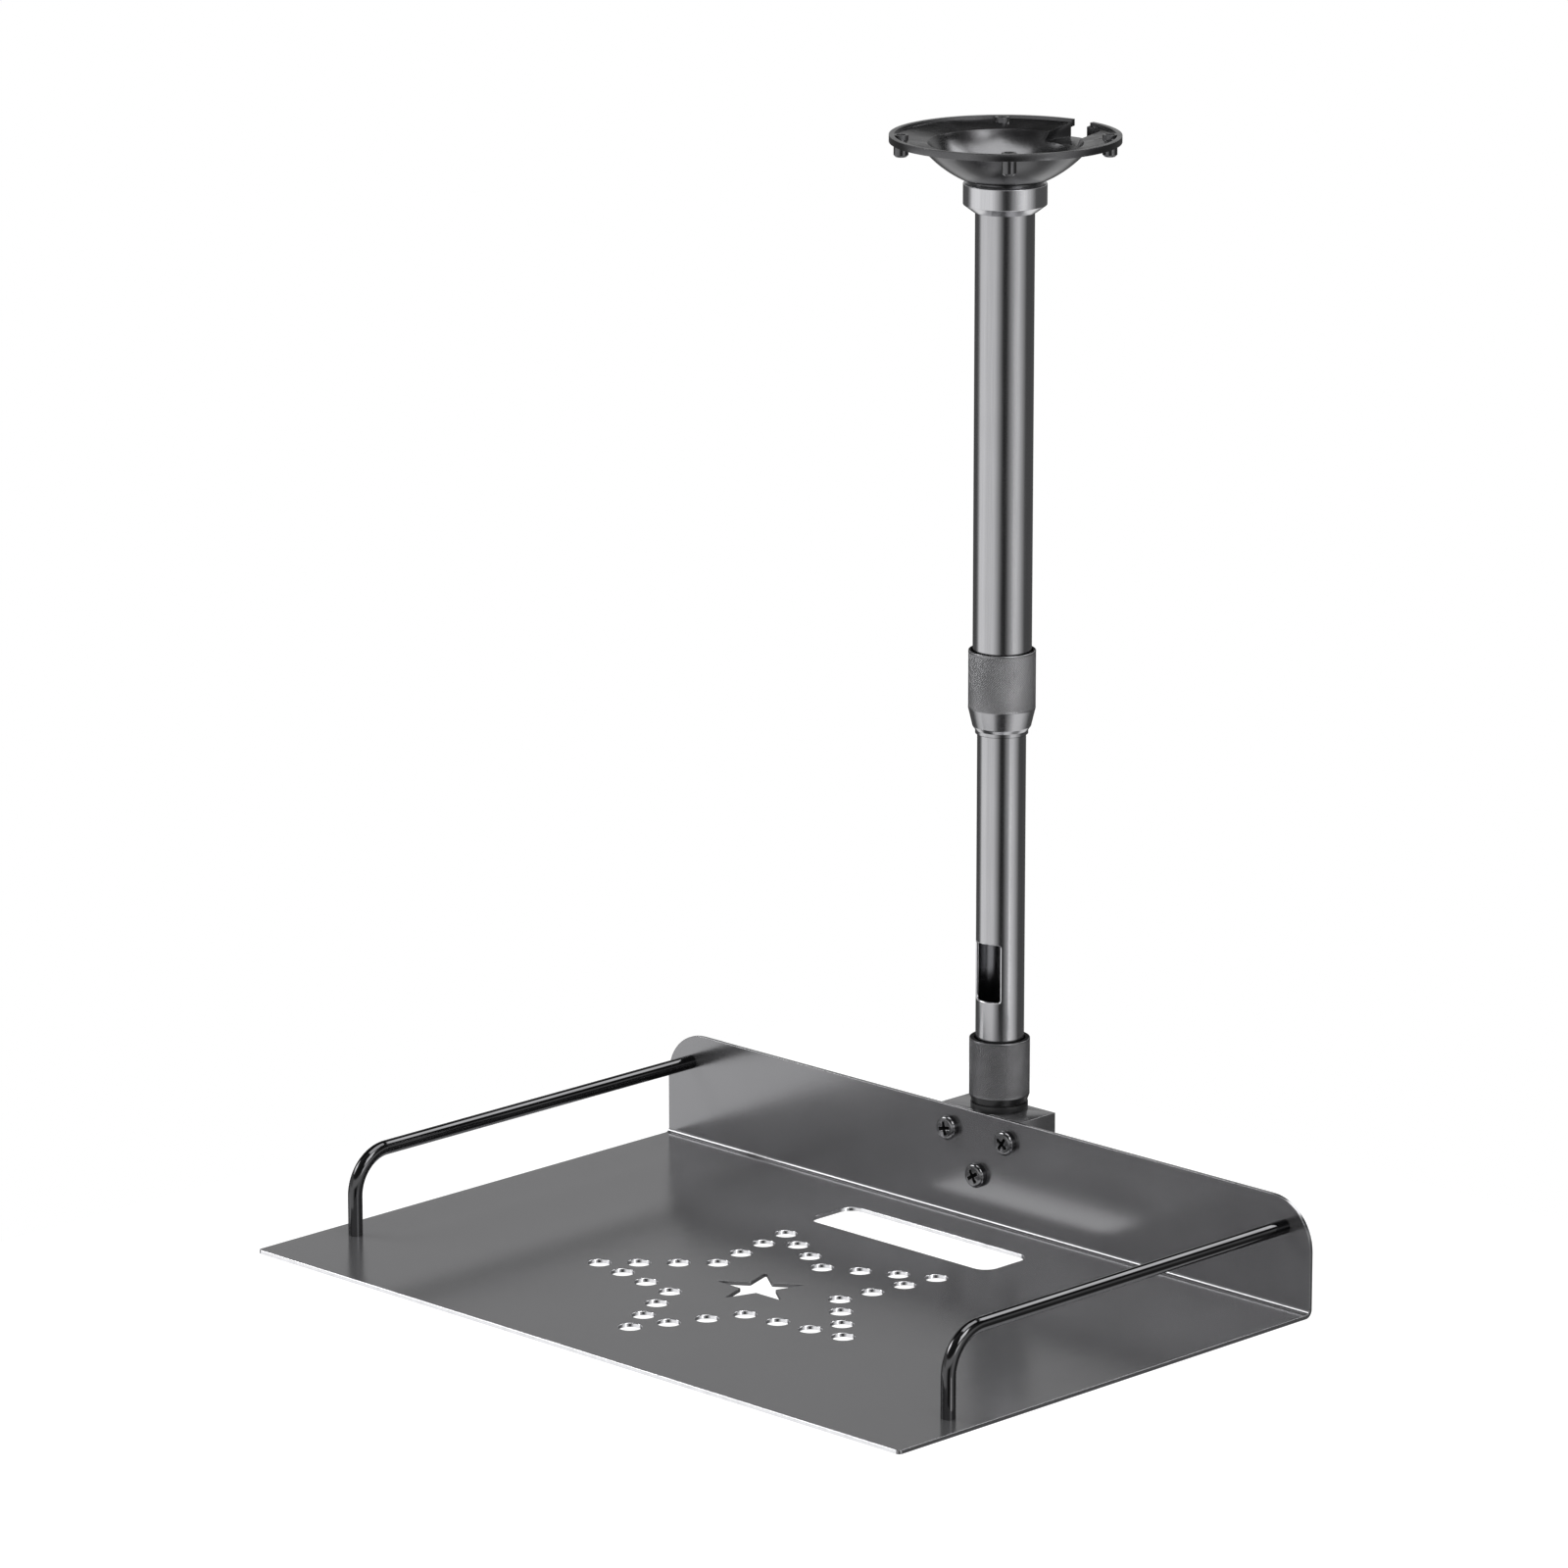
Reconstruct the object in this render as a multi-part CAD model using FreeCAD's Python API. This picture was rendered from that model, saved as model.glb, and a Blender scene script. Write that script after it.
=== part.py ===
import FreeCAD, Part

import math
import os

# Projector ceiling mount: a round flange on the ceiling, a telescopic tube and a bent tray.
# All sizes are in millimetres. The origin is the centre of the flange's top face, the ceiling
# plane, on the axis of the tube. Z points up, so the mount hangs below zero. X runs along the
# tray's width and the tray reaches forward, towards -Y.

V = FreeCAD.Vector
UP = V(0, 0, 1)
BACKWARD = V(0, 1, 0)
CENTRE = V(0, 0, 0)
OVER = 1.0              # how far a cut runs past the faces that it cuts
ALONG = 0.9             # an edge whose direction's share is above this runs along an axis

# Clearances
RUN = 0.08              # radial, between parts that turn or slide on each other
SCREW_GAP = 0.15        # radial, round a screw's shank
SEAT = 0.3              # between faces that turn on each other, and round the nuts' lips

# Ceiling flange, a thin casting with a dished rim and a deep bowl
RIM_D = 108.5
RIM_WALL = 2.5
RIM_DEPTH = 3.2
DISH_DEPTH = 1.4
CAST_WALL = 2.3
BOWL_MOUTH_R = 39.0
BOWL_MOUTH_Z = -6.0
BOWL_MID_R = 31.7
BOWL_MID_Z = -13.3
BOWL_FOOT_R = 20.2
BOWL_FOOT_Z = -20.7
BOWL_LIP_R = 36.4
BOWL_LIP_Z = -3.8
WAIST_D = 35.0          # between the bowl and the collar
WAIST_H = 1.9
BOSS_D = 7.0
BOSS_CIRCLE_D = 97.0
BOSS_DROP = 10.5
BOSS_CHAMFER = 1.0
BOSS_HOLE_D = 4.5
BOSS_COUNT = 4
BOSS_FIRST_ANGLE = 45.0
CHANNEL_W = 12.0        # cable channel through the rim, towards the back
CHANNEL_WALL = 2.0
CHANNEL_DEPTH = 8.0
CHANNEL_POCKET = 12.0   # how far it widens to the right inside the rim
CHANNEL_POCKET_IN = 2.2     # what it leaves of the dish beside the rim

# Collar that joins the flange and the upper tube
COLLAR_D = 39.4
COLLAR_H = 13.5
COLLAR_CHAMFER_H = 3.5
COLLAR_FOOT_D = 30.0
COLLAR_EDGE = 0.4

# Upper tube, fixed to the flange
UPPER_D = 28.0
UPPER_WALL = 1.8
UPPER_L = 246.0
UPPER_SEAT = 0.7        # how far the tube reaches into the bowl's foot

# Upper clamping nut, a sleeve with a tapered foot
NUT_A_D = 32.0
NUT_A_H = 40.4
NUT_A_ON_TUBE = 20.6    # its top edge above the upper tube's end
NUT_A_KNURL_H = 28.0
NUT_A_CONE_D = 27.8     # where its outer cone turns in towards the lip
NUT_A_CONE_END = 3.6    # above its foot
NUT_A_LIP_H = 1.8
NUT_A_FOOT_D = 25.2
NUT_A_TAPER_H = 14.0
NUT_EDGE = 0.8
NUT_GAP = 0.7           # dark ring between a nut's top edge and its tube
NUT_GAP_DEPTH = 2.5

# Split collet under the upper tube
COLLET_H = 12.6
COLLET_SLIT = 1.5

# Lower tube, which slides in the upper one
LOWER_D = 23.2
LOWER_WALL = 1.5
LOWER_L = 304.0
LOWER_BELOW_UPPER = 198.0   # its foot below the upper tube's end, as set in the photo
WINDOW_W = 16.0
WINDOW_H = 28.0
WINDOW_ABOVE_FOOT = 48.5
WINDOW_CORNER = 1.0
BUSH_H = 14.0
BUSH_RIM = 1.5

# Swivel neck, a disc and a slotted spigot that holds the lower tube's foot
NECK_D = 27.5
NECK_DISC_H = 3.3
NECK_FLOOR_T = 6.0
SPIGOT_D = 25.4
SPIGOT_DEPTH = 23.0
SPIGOT_TAPER_H = 6.0
SPIGOT_TIP_D = 24.5
SPIGOT_SLITS = 4
SPIGOT_SLIT_W = 1.5
SPIGOT_SLIT_H = 14.0

# Lower clamping nut, which fills the height between the neck's disc and its own lip
NUT_B_D = 29.0
NUT_B_LIP_H = 5.9
NUT_B_CHAMFER_H = 3.5
NUT_B_FOOT_D = 26.4

# Tray, one bent sheet with a floor and a back flange
TRAY_W = 420.0
TRAY_DEPTH = 273.0
TRAY_T = 2.0
TRAY_BEND_R = 2.0
FLANGE_H = 53.2
FLANGE_CORNER_R = 24.0
FLOOR_CORNER_R = 2.0

# Openings in the tray's floor
SLOT_W = 118.0
SLOT_DEPTH = 31.0
SLOT_CORNER_R = 7.5
SLOT_FROM_FLANGE = 26.0
STAR_FROM_FLANGE = 148.5
STAR_TIP_R = 84.0
STAR_NOTCH_R = 42.0
STAR_POINTS = 5
VENT_D = 11.0
VENTS_PER_EDGE = 3
CENTRE_STAR_R = 22.5

# Bracket behind the back flange: a block, and a plate that tapers down from it
BRACKET_W = 52.0
BRACKET_DEPTH = 24.0
BRACKET_FRONT = 12.6    # its front face, ahead of the tube's axis
BRACKET_BLOCK_H = 16.0
BRACKET_PLATE_T = 5.0
BRACKET_FOOT_R = 12.0
NECK_BOLT_D = 6.0
NECK_BOLT_HEAD_AF = 10.0
NECK_BOLT_HEAD_H = 4.0
NECK_BOLT_IN_NECK = 5.0

# Three pan head screws that hold the tray to the bracket
TRAY_SCREW_SPACING = 37.6
TRAY_SCREW_FROM_TOP = 10.9
TRAY_SCREW_ROW_GAP = 19.9
TRAY_SCREW_D = 6.0
TRAY_SCREW_L = 10.0
TRAY_SCREW_HEAD_D = 12.0
TRAY_SCREW_HEAD_H = 4.0

# Pan heads, as shares of the head's radius and height
HEAD_SIDE = 0.5
HEAD_SHOULDER_R = 0.92
HEAD_SHOULDER_H = 0.84
HEAD_CROWN_R = 0.58

# Two side rails of round rod and the screws in their ends
RAIL_D = 7.0
RAIL_INSET = 16.0       # from the tray's side edge
RAIL_FROM_TOP = 14.2    # from the flange's top edge
RAIL_FROM_FRONT = 48.0  # from the tray's front edge
RAIL_BEND_R = 20.0
RAIL_SEAT = 0.3         # depth of the shallow seats round the rods' ends
RAIL_SCREW_D = 4.0
RAIL_SCREW_L = 12.0
RAIL_SCREW_HEAD_D = 8.0
RAIL_SCREW_HEAD_H = 2.6

# Heights and places that follow, from the ceiling down
COLLAR_TOP_Z = BOWL_FOOT_Z - WAIST_H
UPPER_TOP_Z = BOWL_FOOT_Z + UPPER_SEAT
UPPER_END_Z = UPPER_TOP_Z - UPPER_L
NUT_A_TOP_Z = UPPER_END_Z + NUT_A_ON_TUBE
LOWER_END_Z = UPPER_END_Z - LOWER_BELOW_UPPER
LOWER_TOP_Z = LOWER_END_Z + LOWER_L
BRACKET_TOP_Z = LOWER_END_Z - NECK_FLOOR_T
BLOCK_UNDER_Z = BRACKET_TOP_Z - BRACKET_BLOCK_H
DISC_TOP_Z = BRACKET_TOP_Z + NECK_DISC_H
SPIGOT_TOP_Z = LOWER_END_Z + SPIGOT_DEPTH
NUT_B_TOP_Z = SPIGOT_TOP_Z + NUT_B_LIP_H
FLANGE_TOP_Z = BRACKET_TOP_Z
TRAY_FLOOR_Z = FLANGE_TOP_Z - FLANGE_H
TRAY_UNDER_Z = TRAY_FLOOR_Z - TRAY_T
FLANGE_BACK_Y = -BRACKET_FRONT
FLANGE_FACE_Y = FLANGE_BACK_Y - TRAY_T
TRAY_FRONT_Y = FLANGE_FACE_Y - TRAY_DEPTH
RAIL_X = TRAY_W / 2 - RAIL_INSET
RAIL_Z = FLANGE_TOP_Z - RAIL_FROM_TOP
RAIL_LEG_Y = TRAY_FRONT_Y + RAIL_FROM_FRONT


def put(name, shape):
    """Writes one piece to its own STEP file."""
    shape.exportStep(os.path.join("parts", name + ".step"))


def cylinder(radius, low, high, x=0.0, y=0.0):
    """An upright cylinder between two heights."""
    return Part.makeCylinder(radius, high - low, V(x, y, low), UP)


def box(low, high):
    """A box from its lowest to its highest corner."""
    return Part.makeBox(high.x - low.x, high.y - low.y, high.z - low.z, low)


def turned(points):
    """A solid of revolution about Z from a closed (radius, height) outline."""
    corners = [V(r, 0, z) for r, z in points]
    outline = Part.makePolygon(corners + corners[:1])
    return Part.Face(outline).revolve(CENTRE, UP, 360)


def prism(points, height_vector):
    """A straight solid from a closed outline of points."""
    outline = Part.makePolygon(points + points[:1])
    return Part.Face(outline).extrude(height_vector)


def arc(first, middle, last):
    return Part.Arc(first, middle, last).toShape()


def line(first, last):
    return Part.LineSegment(first, last).toShape()


def arc_centre(a, b, c):
    """Centre of the circle through three (radius, height) points."""
    d = 2 * (a[0] * (b[1] - c[1]) + b[0] * (c[1] - a[1]) + c[0] * (a[1] - b[1]))
    a2 = a[0] ** 2 + a[1] ** 2
    b2 = b[0] ** 2 + b[1] ** 2
    c2 = c[0] ** 2 + c[1] ** 2
    x = (a2 * (b[1] - c[1]) + b2 * (c[1] - a[1]) + c2 * (a[1] - b[1])) / d
    y = (a2 * (c[0] - b[0]) + b2 * (a[0] - c[0]) + c2 * (b[0] - a[0])) / d
    return x, y


def towards(point, centre, step):
    """The point moved by step towards a centre."""
    gap = math.hypot(centre[0] - point[0], centre[1] - point[1])
    share = step / gap
    return point[0] + (centre[0] - point[0]) * share, point[1] + (centre[1] - point[1]) * share


def flat_point(point):
    """A (radius, height) point in the XZ plane."""
    return V(point[0], 0, point[1])


def ceiling_flange():
    """Dished rim, bowl with a waist, four screw bosses and a cable channel at the back."""
    rim_r = RIM_D / 2
    tube_r = UPPER_D / 2
    waist_r = WAIST_D / 2
    mouth = (BOWL_MOUTH_R, BOWL_MOUTH_Z)
    mid = (BOWL_MID_R, BOWL_MID_Z)
    foot = (BOWL_FOOT_R, BOWL_FOOT_Z)
    centre = arc_centre(mouth, mid, foot)
    inner_mid = towards(mid, centre, CAST_WALL)
    inner_foot = towards(foot, centre, CAST_WALL)
    outer = [
        line(CENTRE, V(rim_r, 0, 0)),
        line(V(rim_r, 0, 0), V(rim_r, 0, -RIM_DEPTH)),
        line(V(rim_r, 0, -RIM_DEPTH), flat_point(mouth)),
        arc(flat_point(mouth), flat_point(mid), flat_point(foot)),
        line(flat_point(foot), V(waist_r, 0, BOWL_FOOT_Z)),
        line(V(waist_r, 0, BOWL_FOOT_Z), V(waist_r, 0, COLLAR_TOP_Z)),
        line(V(waist_r, 0, COLLAR_TOP_Z), V(0, 0, COLLAR_TOP_Z)),
        line(V(0, 0, COLLAR_TOP_Z), CENTRE),
    ]
    body = Part.Face(Part.Wire(outer)).revolve(CENTRE, UP, 360)
    dish_r = rim_r - RIM_WALL
    lip = (BOWL_LIP_R, BOWL_LIP_Z)
    hollow = [
        line(V(0, 0, OVER), V(dish_r, 0, OVER)),
        line(V(dish_r, 0, OVER), V(dish_r, 0, -DISH_DEPTH)),
        line(V(dish_r, 0, -DISH_DEPTH), flat_point(lip)),
        arc(flat_point(lip), flat_point(inner_mid), flat_point(inner_foot)),
        line(flat_point(inner_foot), V(0, 0, inner_foot[1])),
        line(V(0, 0, inner_foot[1]), V(0, 0, OVER)),
    ]
    hollow = Part.Face(Part.Wire(hollow)).revolve(CENTRE, UP, 360)
    half = CHANNEL_W / 2
    side = half + CHANNEL_POCKET
    inner_y = BOWL_FOOT_R + 2 * CAST_WALL
    way_out = box(V(-half, inner_y, -CHANNEL_DEPTH), V(half, rim_r + OVER, OVER))
    pocket = box(V(-half, inner_y, -CHANNEL_DEPTH), V(side, rim_r, OVER))
    pocket = pocket.common(cylinder(dish_r - CHANNEL_POCKET_IN, -CHANNEL_DEPTH, OVER))
    trough_low = V(-half - CHANNEL_WALL, inner_y, -CHANNEL_DEPTH - CHANNEL_WALL)
    trough = box(trough_low, V(side + CHANNEL_WALL, rim_r, -DISH_DEPTH))
    trough = trough.common(cylinder(dish_r, trough_low.z, -DISH_DEPTH))
    bosses = []
    holes = []
    for i in range(BOSS_COUNT):
        angle = math.radians(BOSS_FIRST_ANGLE + i * 360 / BOSS_COUNT)
        x = BOSS_CIRCLE_D / 2 * math.cos(angle)
        y = BOSS_CIRCLE_D / 2 * math.sin(angle)
        stem = cylinder(BOSS_D / 2, BOSS_CHAMFER - BOSS_DROP, 0, x, y)
        tip_r = BOSS_D / 2 - BOSS_CHAMFER
        tip = Part.makeCone(tip_r, BOSS_D / 2, BOSS_CHAMFER, V(x, y, -BOSS_DROP), UP)
        bosses.append(stem.fuse(tip))
        holes.append(cylinder(BOSS_HOLE_D / 2, -BOSS_DROP - OVER, OVER, x, y))
    body = body.fuse(trough).cut(hollow).fuse(bosses)
    seat = cylinder(tube_r, COLLAR_TOP_Z - OVER, UPPER_TOP_Z)
    bore = cylinder(tube_r - UPPER_WALL, COLLAR_TOP_Z - OVER, OVER)
    return body.cut(holes + [way_out, pocket, seat, bore]).removeSplitter()


def flange_collar():
    """Ring on the upper tube under the bowl, with a chamfered foot."""
    r = COLLAR_D / 2
    bore = UPPER_D / 2
    foot_z = COLLAR_TOP_Z - COLLAR_H
    return turned([
        (bore, COLLAR_TOP_Z),
        (r - COLLAR_EDGE, COLLAR_TOP_Z),
        (r, COLLAR_TOP_Z - COLLAR_EDGE),
        (r, foot_z + COLLAR_CHAMFER_H),
        (COLLAR_FOOT_D / 2, foot_z),
        (bore, foot_z),
    ])


def tube(outer_r, wall, low, high):
    return cylinder(outer_r, low, high).cut(cylinder(outer_r - wall, low - OVER, high + OVER))


def upper_tube():
    return tube(UPPER_D / 2, UPPER_WALL, UPPER_END_Z, UPPER_TOP_Z)


def nut_a_cone(z):
    """Radius of the upper nut's inner taper at a height below the upper tube's end."""
    start_r = UPPER_D / 2 + RUN
    end_r = NUT_A_FOOT_D / 2
    return start_r + (end_r - start_r) * (UPPER_END_Z - z) / NUT_A_TAPER_H


def upper_clamp_nut():
    """Sleeve nut on the upper tube, tapered inside to squeeze the collet."""
    r = NUT_A_D / 2
    foot_z = NUT_A_TOP_Z - NUT_A_H
    thread_r = UPPER_D / 2 + RUN
    gap_r = UPPER_D / 2 + NUT_GAP
    lip_r = LOWER_D / 2 + SEAT
    taper_end = UPPER_END_Z - NUT_A_TAPER_H
    return turned([
        (gap_r, NUT_A_TOP_Z),
        (r - NUT_EDGE, NUT_A_TOP_Z),
        (r, NUT_A_TOP_Z - NUT_EDGE),
        (r, NUT_A_TOP_Z - NUT_A_KNURL_H),
        (NUT_A_CONE_D / 2, foot_z + NUT_A_CONE_END),
        (NUT_A_FOOT_D / 2, foot_z + NUT_A_LIP_H),
        (NUT_A_FOOT_D / 2, foot_z),
        (lip_r, foot_z),
        (lip_r, taper_end),
        (nut_a_cone(taper_end), taper_end),
        (thread_r, UPPER_END_Z),
        (thread_r, NUT_A_TOP_Z - NUT_GAP_DEPTH),
        (gap_r, NUT_A_TOP_Z - NUT_GAP_DEPTH),
    ])


def upper_collet():
    """Split ring that grips the lower tube when the upper nut is turned tight."""
    top = UPPER_END_Z
    foot = top - COLLET_H
    bore = LOWER_D / 2 + RUN
    ring = turned([
        (bore, top),
        (nut_a_cone(top) - 2 * RUN, top),
        (nut_a_cone(foot) - 2 * RUN, foot),
        (bore, foot),
    ])
    half = COLLET_SLIT / 2
    return ring.cut(box(V(0, -half, foot - OVER), V(UPPER_D, half, top + OVER)))


def lower_tube():
    """Sliding tube with a window for the cables, facing the tray."""
    r = LOWER_D / 2
    body = tube(r, LOWER_WALL, LOWER_END_Z, LOWER_TOP_Z)
    half = WINDOW_W / 2
    low_z = LOWER_END_Z + WINDOW_ABOVE_FOOT
    window = box(V(-half, -r - OVER, low_z), V(half, 0, low_z + WINDOW_H))
    corners = [e for e in window.Edges if abs(e.tangentAt(e.FirstParameter).y) > ALONG]
    return body.cut(window.makeFillet(WINDOW_CORNER, corners))


def tube_guide_bush():
    """Plastic cap ring that guides the lower tube's top end inside the upper tube."""
    outer = UPPER_D / 2 - UPPER_WALL - RUN
    tube_r = LOWER_D / 2
    return turned([
        (tube_r, LOWER_TOP_Z - BUSH_H),
        (outer, LOWER_TOP_Z - BUSH_H),
        (outer, LOWER_TOP_Z + BUSH_RIM),
        (tube_r - LOWER_WALL, LOWER_TOP_Z + BUSH_RIM),
        (tube_r - LOWER_WALL, LOWER_TOP_Z),
        (tube_r, LOWER_TOP_Z),
    ])


def lower_clamp_nut():
    """Nut on the neck's spigot that squeezes its fingers on the lower tube."""
    r = NUT_B_D / 2
    foot_z = DISC_TOP_Z + SEAT
    gap_r = LOWER_D / 2 + NUT_GAP
    thread_r = SPIGOT_D / 2 + RUN
    return turned([
        (gap_r, NUT_B_TOP_Z),
        (r - NUT_EDGE, NUT_B_TOP_Z),
        (r, NUT_B_TOP_Z - NUT_EDGE),
        (r, foot_z + NUT_B_CHAMFER_H),
        (NUT_B_FOOT_D / 2, foot_z),
        (thread_r, foot_z),
        (thread_r, SPIGOT_TOP_Z - SPIGOT_TAPER_H),
        (SPIGOT_TIP_D / 2 + 2 * RUN, SPIGOT_TOP_Z + SEAT),
        (gap_r, SPIGOT_TOP_Z + SEAT),
    ])


def swivel_neck():
    """Turned neck: a disc on the bracket and a slotted spigot round the lower tube's foot."""
    disc_r = NECK_D / 2
    spigot_r = SPIGOT_D / 2
    bore = LOWER_D / 2 + RUN
    body = turned([
        (0, BRACKET_TOP_Z),
        (disc_r, BRACKET_TOP_Z),
        (disc_r, DISC_TOP_Z),
        (spigot_r, DISC_TOP_Z),
        (spigot_r, SPIGOT_TOP_Z - SPIGOT_TAPER_H),
        (SPIGOT_TIP_D / 2, SPIGOT_TOP_Z),
        (bore, SPIGOT_TOP_Z),
        (bore, LOWER_END_Z),
        (0, LOWER_END_Z),
    ])
    cuts = []
    half = SPIGOT_SLIT_W / 2
    for i in range(SPIGOT_SLITS):
        low = V(bore - OVER, -half, SPIGOT_TOP_Z - SPIGOT_SLIT_H)
        slit = box(low, V(spigot_r + OVER, half, SPIGOT_TOP_Z + OVER))
        slit.rotate(CENTRE, UP, (i + 0.5) * 360 / SPIGOT_SLITS)
        cuts.append(slit)
    hole_r = NECK_BOLT_D / 2 + SCREW_GAP
    cuts.append(cylinder(hole_r, BRACKET_TOP_Z - OVER, BRACKET_TOP_Z + NECK_BOLT_IN_NECK))
    return body.cut(cuts)


def bracket_block():
    """Cast block under the neck, with a plate that tapers down behind the tray's flange."""
    front = FLANGE_BACK_Y
    half = BRACKET_W / 2
    block = box(V(-half, front, BLOCK_UNDER_Z), V(half, front + BRACKET_DEPTH, BRACKET_TOP_Z))
    low_z = BRACKET_TOP_Z - TRAY_SCREW_FROM_TOP - TRAY_SCREW_ROW_GAP
    r = BRACKET_FOOT_R
    side = math.atan2(half - r, BLOCK_UNDER_Z - low_z)
    touch_x = r * math.cos(side)
    touch_z = low_z - r * math.sin(side)
    outline = Part.Wire([
        line(V(-half, front, BRACKET_TOP_Z), V(-half, front, BLOCK_UNDER_Z)),
        line(V(-half, front, BLOCK_UNDER_Z), V(-touch_x, front, touch_z)),
        arc(V(-touch_x, front, touch_z), V(0, front, low_z - r), V(touch_x, front, touch_z)),
        line(V(touch_x, front, touch_z), V(half, front, BLOCK_UNDER_Z)),
        line(V(half, front, BLOCK_UNDER_Z), V(half, front, BRACKET_TOP_Z)),
        line(V(half, front, BRACKET_TOP_Z), V(-half, front, BRACKET_TOP_Z)),
    ])
    plate = Part.Face(outline).extrude(V(0, BRACKET_PLATE_T, 0))
    body = block.fuse(plate).removeSplitter()
    bolt_r = NECK_BOLT_D / 2 + SCREW_GAP
    bolt_hole = cylinder(bolt_r, BLOCK_UNDER_Z - OVER, BRACKET_TOP_Z + OVER)
    return body.cut([bolt_hole] + tray_screw_holes())


def neck_bolt():
    """Hexagon bolt that holds the neck on the block from below."""
    corner_r = NECK_BOLT_HEAD_AF / 2 / math.cos(math.pi / 6)
    corners = []
    for i in range(6):
        angle = i * math.pi / 3
        corners.append(V(corner_r * math.cos(angle), corner_r * math.sin(angle), BLOCK_UNDER_Z))
    head = prism(corners, V(0, 0, -NECK_BOLT_HEAD_H))
    shank = cylinder(NECK_BOLT_D / 2, BLOCK_UNDER_Z, BRACKET_TOP_Z + NECK_BOLT_IN_NECK)
    return head.fuse(shank).removeSplitter()


def tray_screw_places():
    high = FLANGE_TOP_Z - TRAY_SCREW_FROM_TOP
    half = TRAY_SCREW_SPACING / 2
    return {
        "tray_screw_left": V(-half, FLANGE_FACE_Y, high),
        "tray_screw_right": V(half, FLANGE_FACE_Y, high),
        "tray_screw_lower": V(0, FLANGE_FACE_Y, high - TRAY_SCREW_ROW_GAP),
    }


def tray_screw_holes():
    """Holes through the flange and into the bracket, a little deeper than the screws."""
    holes = []
    for place in tray_screw_places().values():
        r = TRAY_SCREW_D / 2 + SCREW_GAP
        start = place - V(0, OVER, 0)
        holes.append(Part.makeCylinder(r, TRAY_SCREW_L + 2 * OVER, start, BACKWARD))
    return holes


def pan_screw(head_d, head_h, shank_d, length):
    """A pan head screw along Z with the head's seat at the origin and the shank below."""
    r = head_d / 2
    side_h = head_h * HEAD_SIDE
    shoulder = V(r * HEAD_SHOULDER_R, 0, head_h * HEAD_SHOULDER_H)
    crown = V(r * HEAD_CROWN_R, 0, head_h)
    profile = Part.Wire([
        line(V(0, 0, -length), V(shank_d / 2, 0, -length)),
        line(V(shank_d / 2, 0, -length), V(shank_d / 2, 0, 0)),
        line(V(shank_d / 2, 0, 0), V(r, 0, 0)),
        line(V(r, 0, 0), V(r, 0, side_h)),
        arc(V(r, 0, side_h), shoulder, crown),
        line(crown, V(0, 0, head_h)),
        line(V(0, 0, head_h), V(0, 0, -length)),
    ])
    return Part.Face(profile).revolve(CENTRE, UP, 360)


def screw_at(screw, place, degrees):
    """Tips the screw about X and moves its head's seat to a place."""
    screw.rotate(CENTRE, V(1, 0, 0), degrees)
    screw.translate(place)
    return screw


def star_corners(tip_r, notch_r):
    """Corners of a star under the floor, with one tip towards the tray's front."""
    corners = []
    for i in range(2 * STAR_POINTS):
        angle = math.pi * (i / STAR_POINTS - 0.5)
        r = notch_r if i % 2 else tip_r
        y = FLANGE_FACE_Y - STAR_FROM_FLANGE + r * math.sin(angle)
        corners.append(V(r * math.cos(angle), y, TRAY_UNDER_Z - OVER))
    return corners


def vent_holes():
    """Round vents at equal steps along the outline of the star."""
    corners = star_corners(STAR_TIP_R, STAR_NOTCH_R)
    holes = []
    for first, last in zip(corners, corners[1:] + corners[:1]):
        for step in range(VENTS_PER_EDGE):
            at = first + (last - first) * (step / VENTS_PER_EDGE)
            holes.append(Part.makeCylinder(VENT_D / 2, TRAY_T + 2 * OVER, at, UP))
    return holes


def centre_star():
    """Plain star cut-out in the middle; its notches lie where its long edges cross."""
    notch_r = CENTRE_STAR_R * math.cos(2 * math.pi / STAR_POINTS) / math.cos(math.pi / STAR_POINTS)
    return prism(star_corners(CENTRE_STAR_R, notch_r), V(0, 0, TRAY_T + 2 * OVER))


def floor_slot():
    half = SLOT_W / 2
    high_y = FLANGE_FACE_Y - SLOT_FROM_FLANGE
    low = V(-half, high_y - SLOT_DEPTH, TRAY_UNDER_Z - OVER)
    slot = box(low, V(half, high_y, TRAY_FLOOR_Z + OVER))
    upright = [e for e in slot.Edges if abs(e.tangentAt(e.FirstParameter).z) > ALONG]
    return slot.makeFillet(SLOT_CORNER_R, upright)


def edges_at(shape, direction, place):
    """Straight edges along a direction: along Y at height place, or along Z at depth place."""
    found = []
    for edge in shape.Edges:
        along = edge.tangentAt(edge.FirstParameter)
        at = edge.CenterOfMass.y if direction.z else edge.CenterOfMass.z
        if abs(along.dot(direction)) > ALONG and abs(at - place) < SEAT:
            found.append(edge)
    return found


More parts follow.
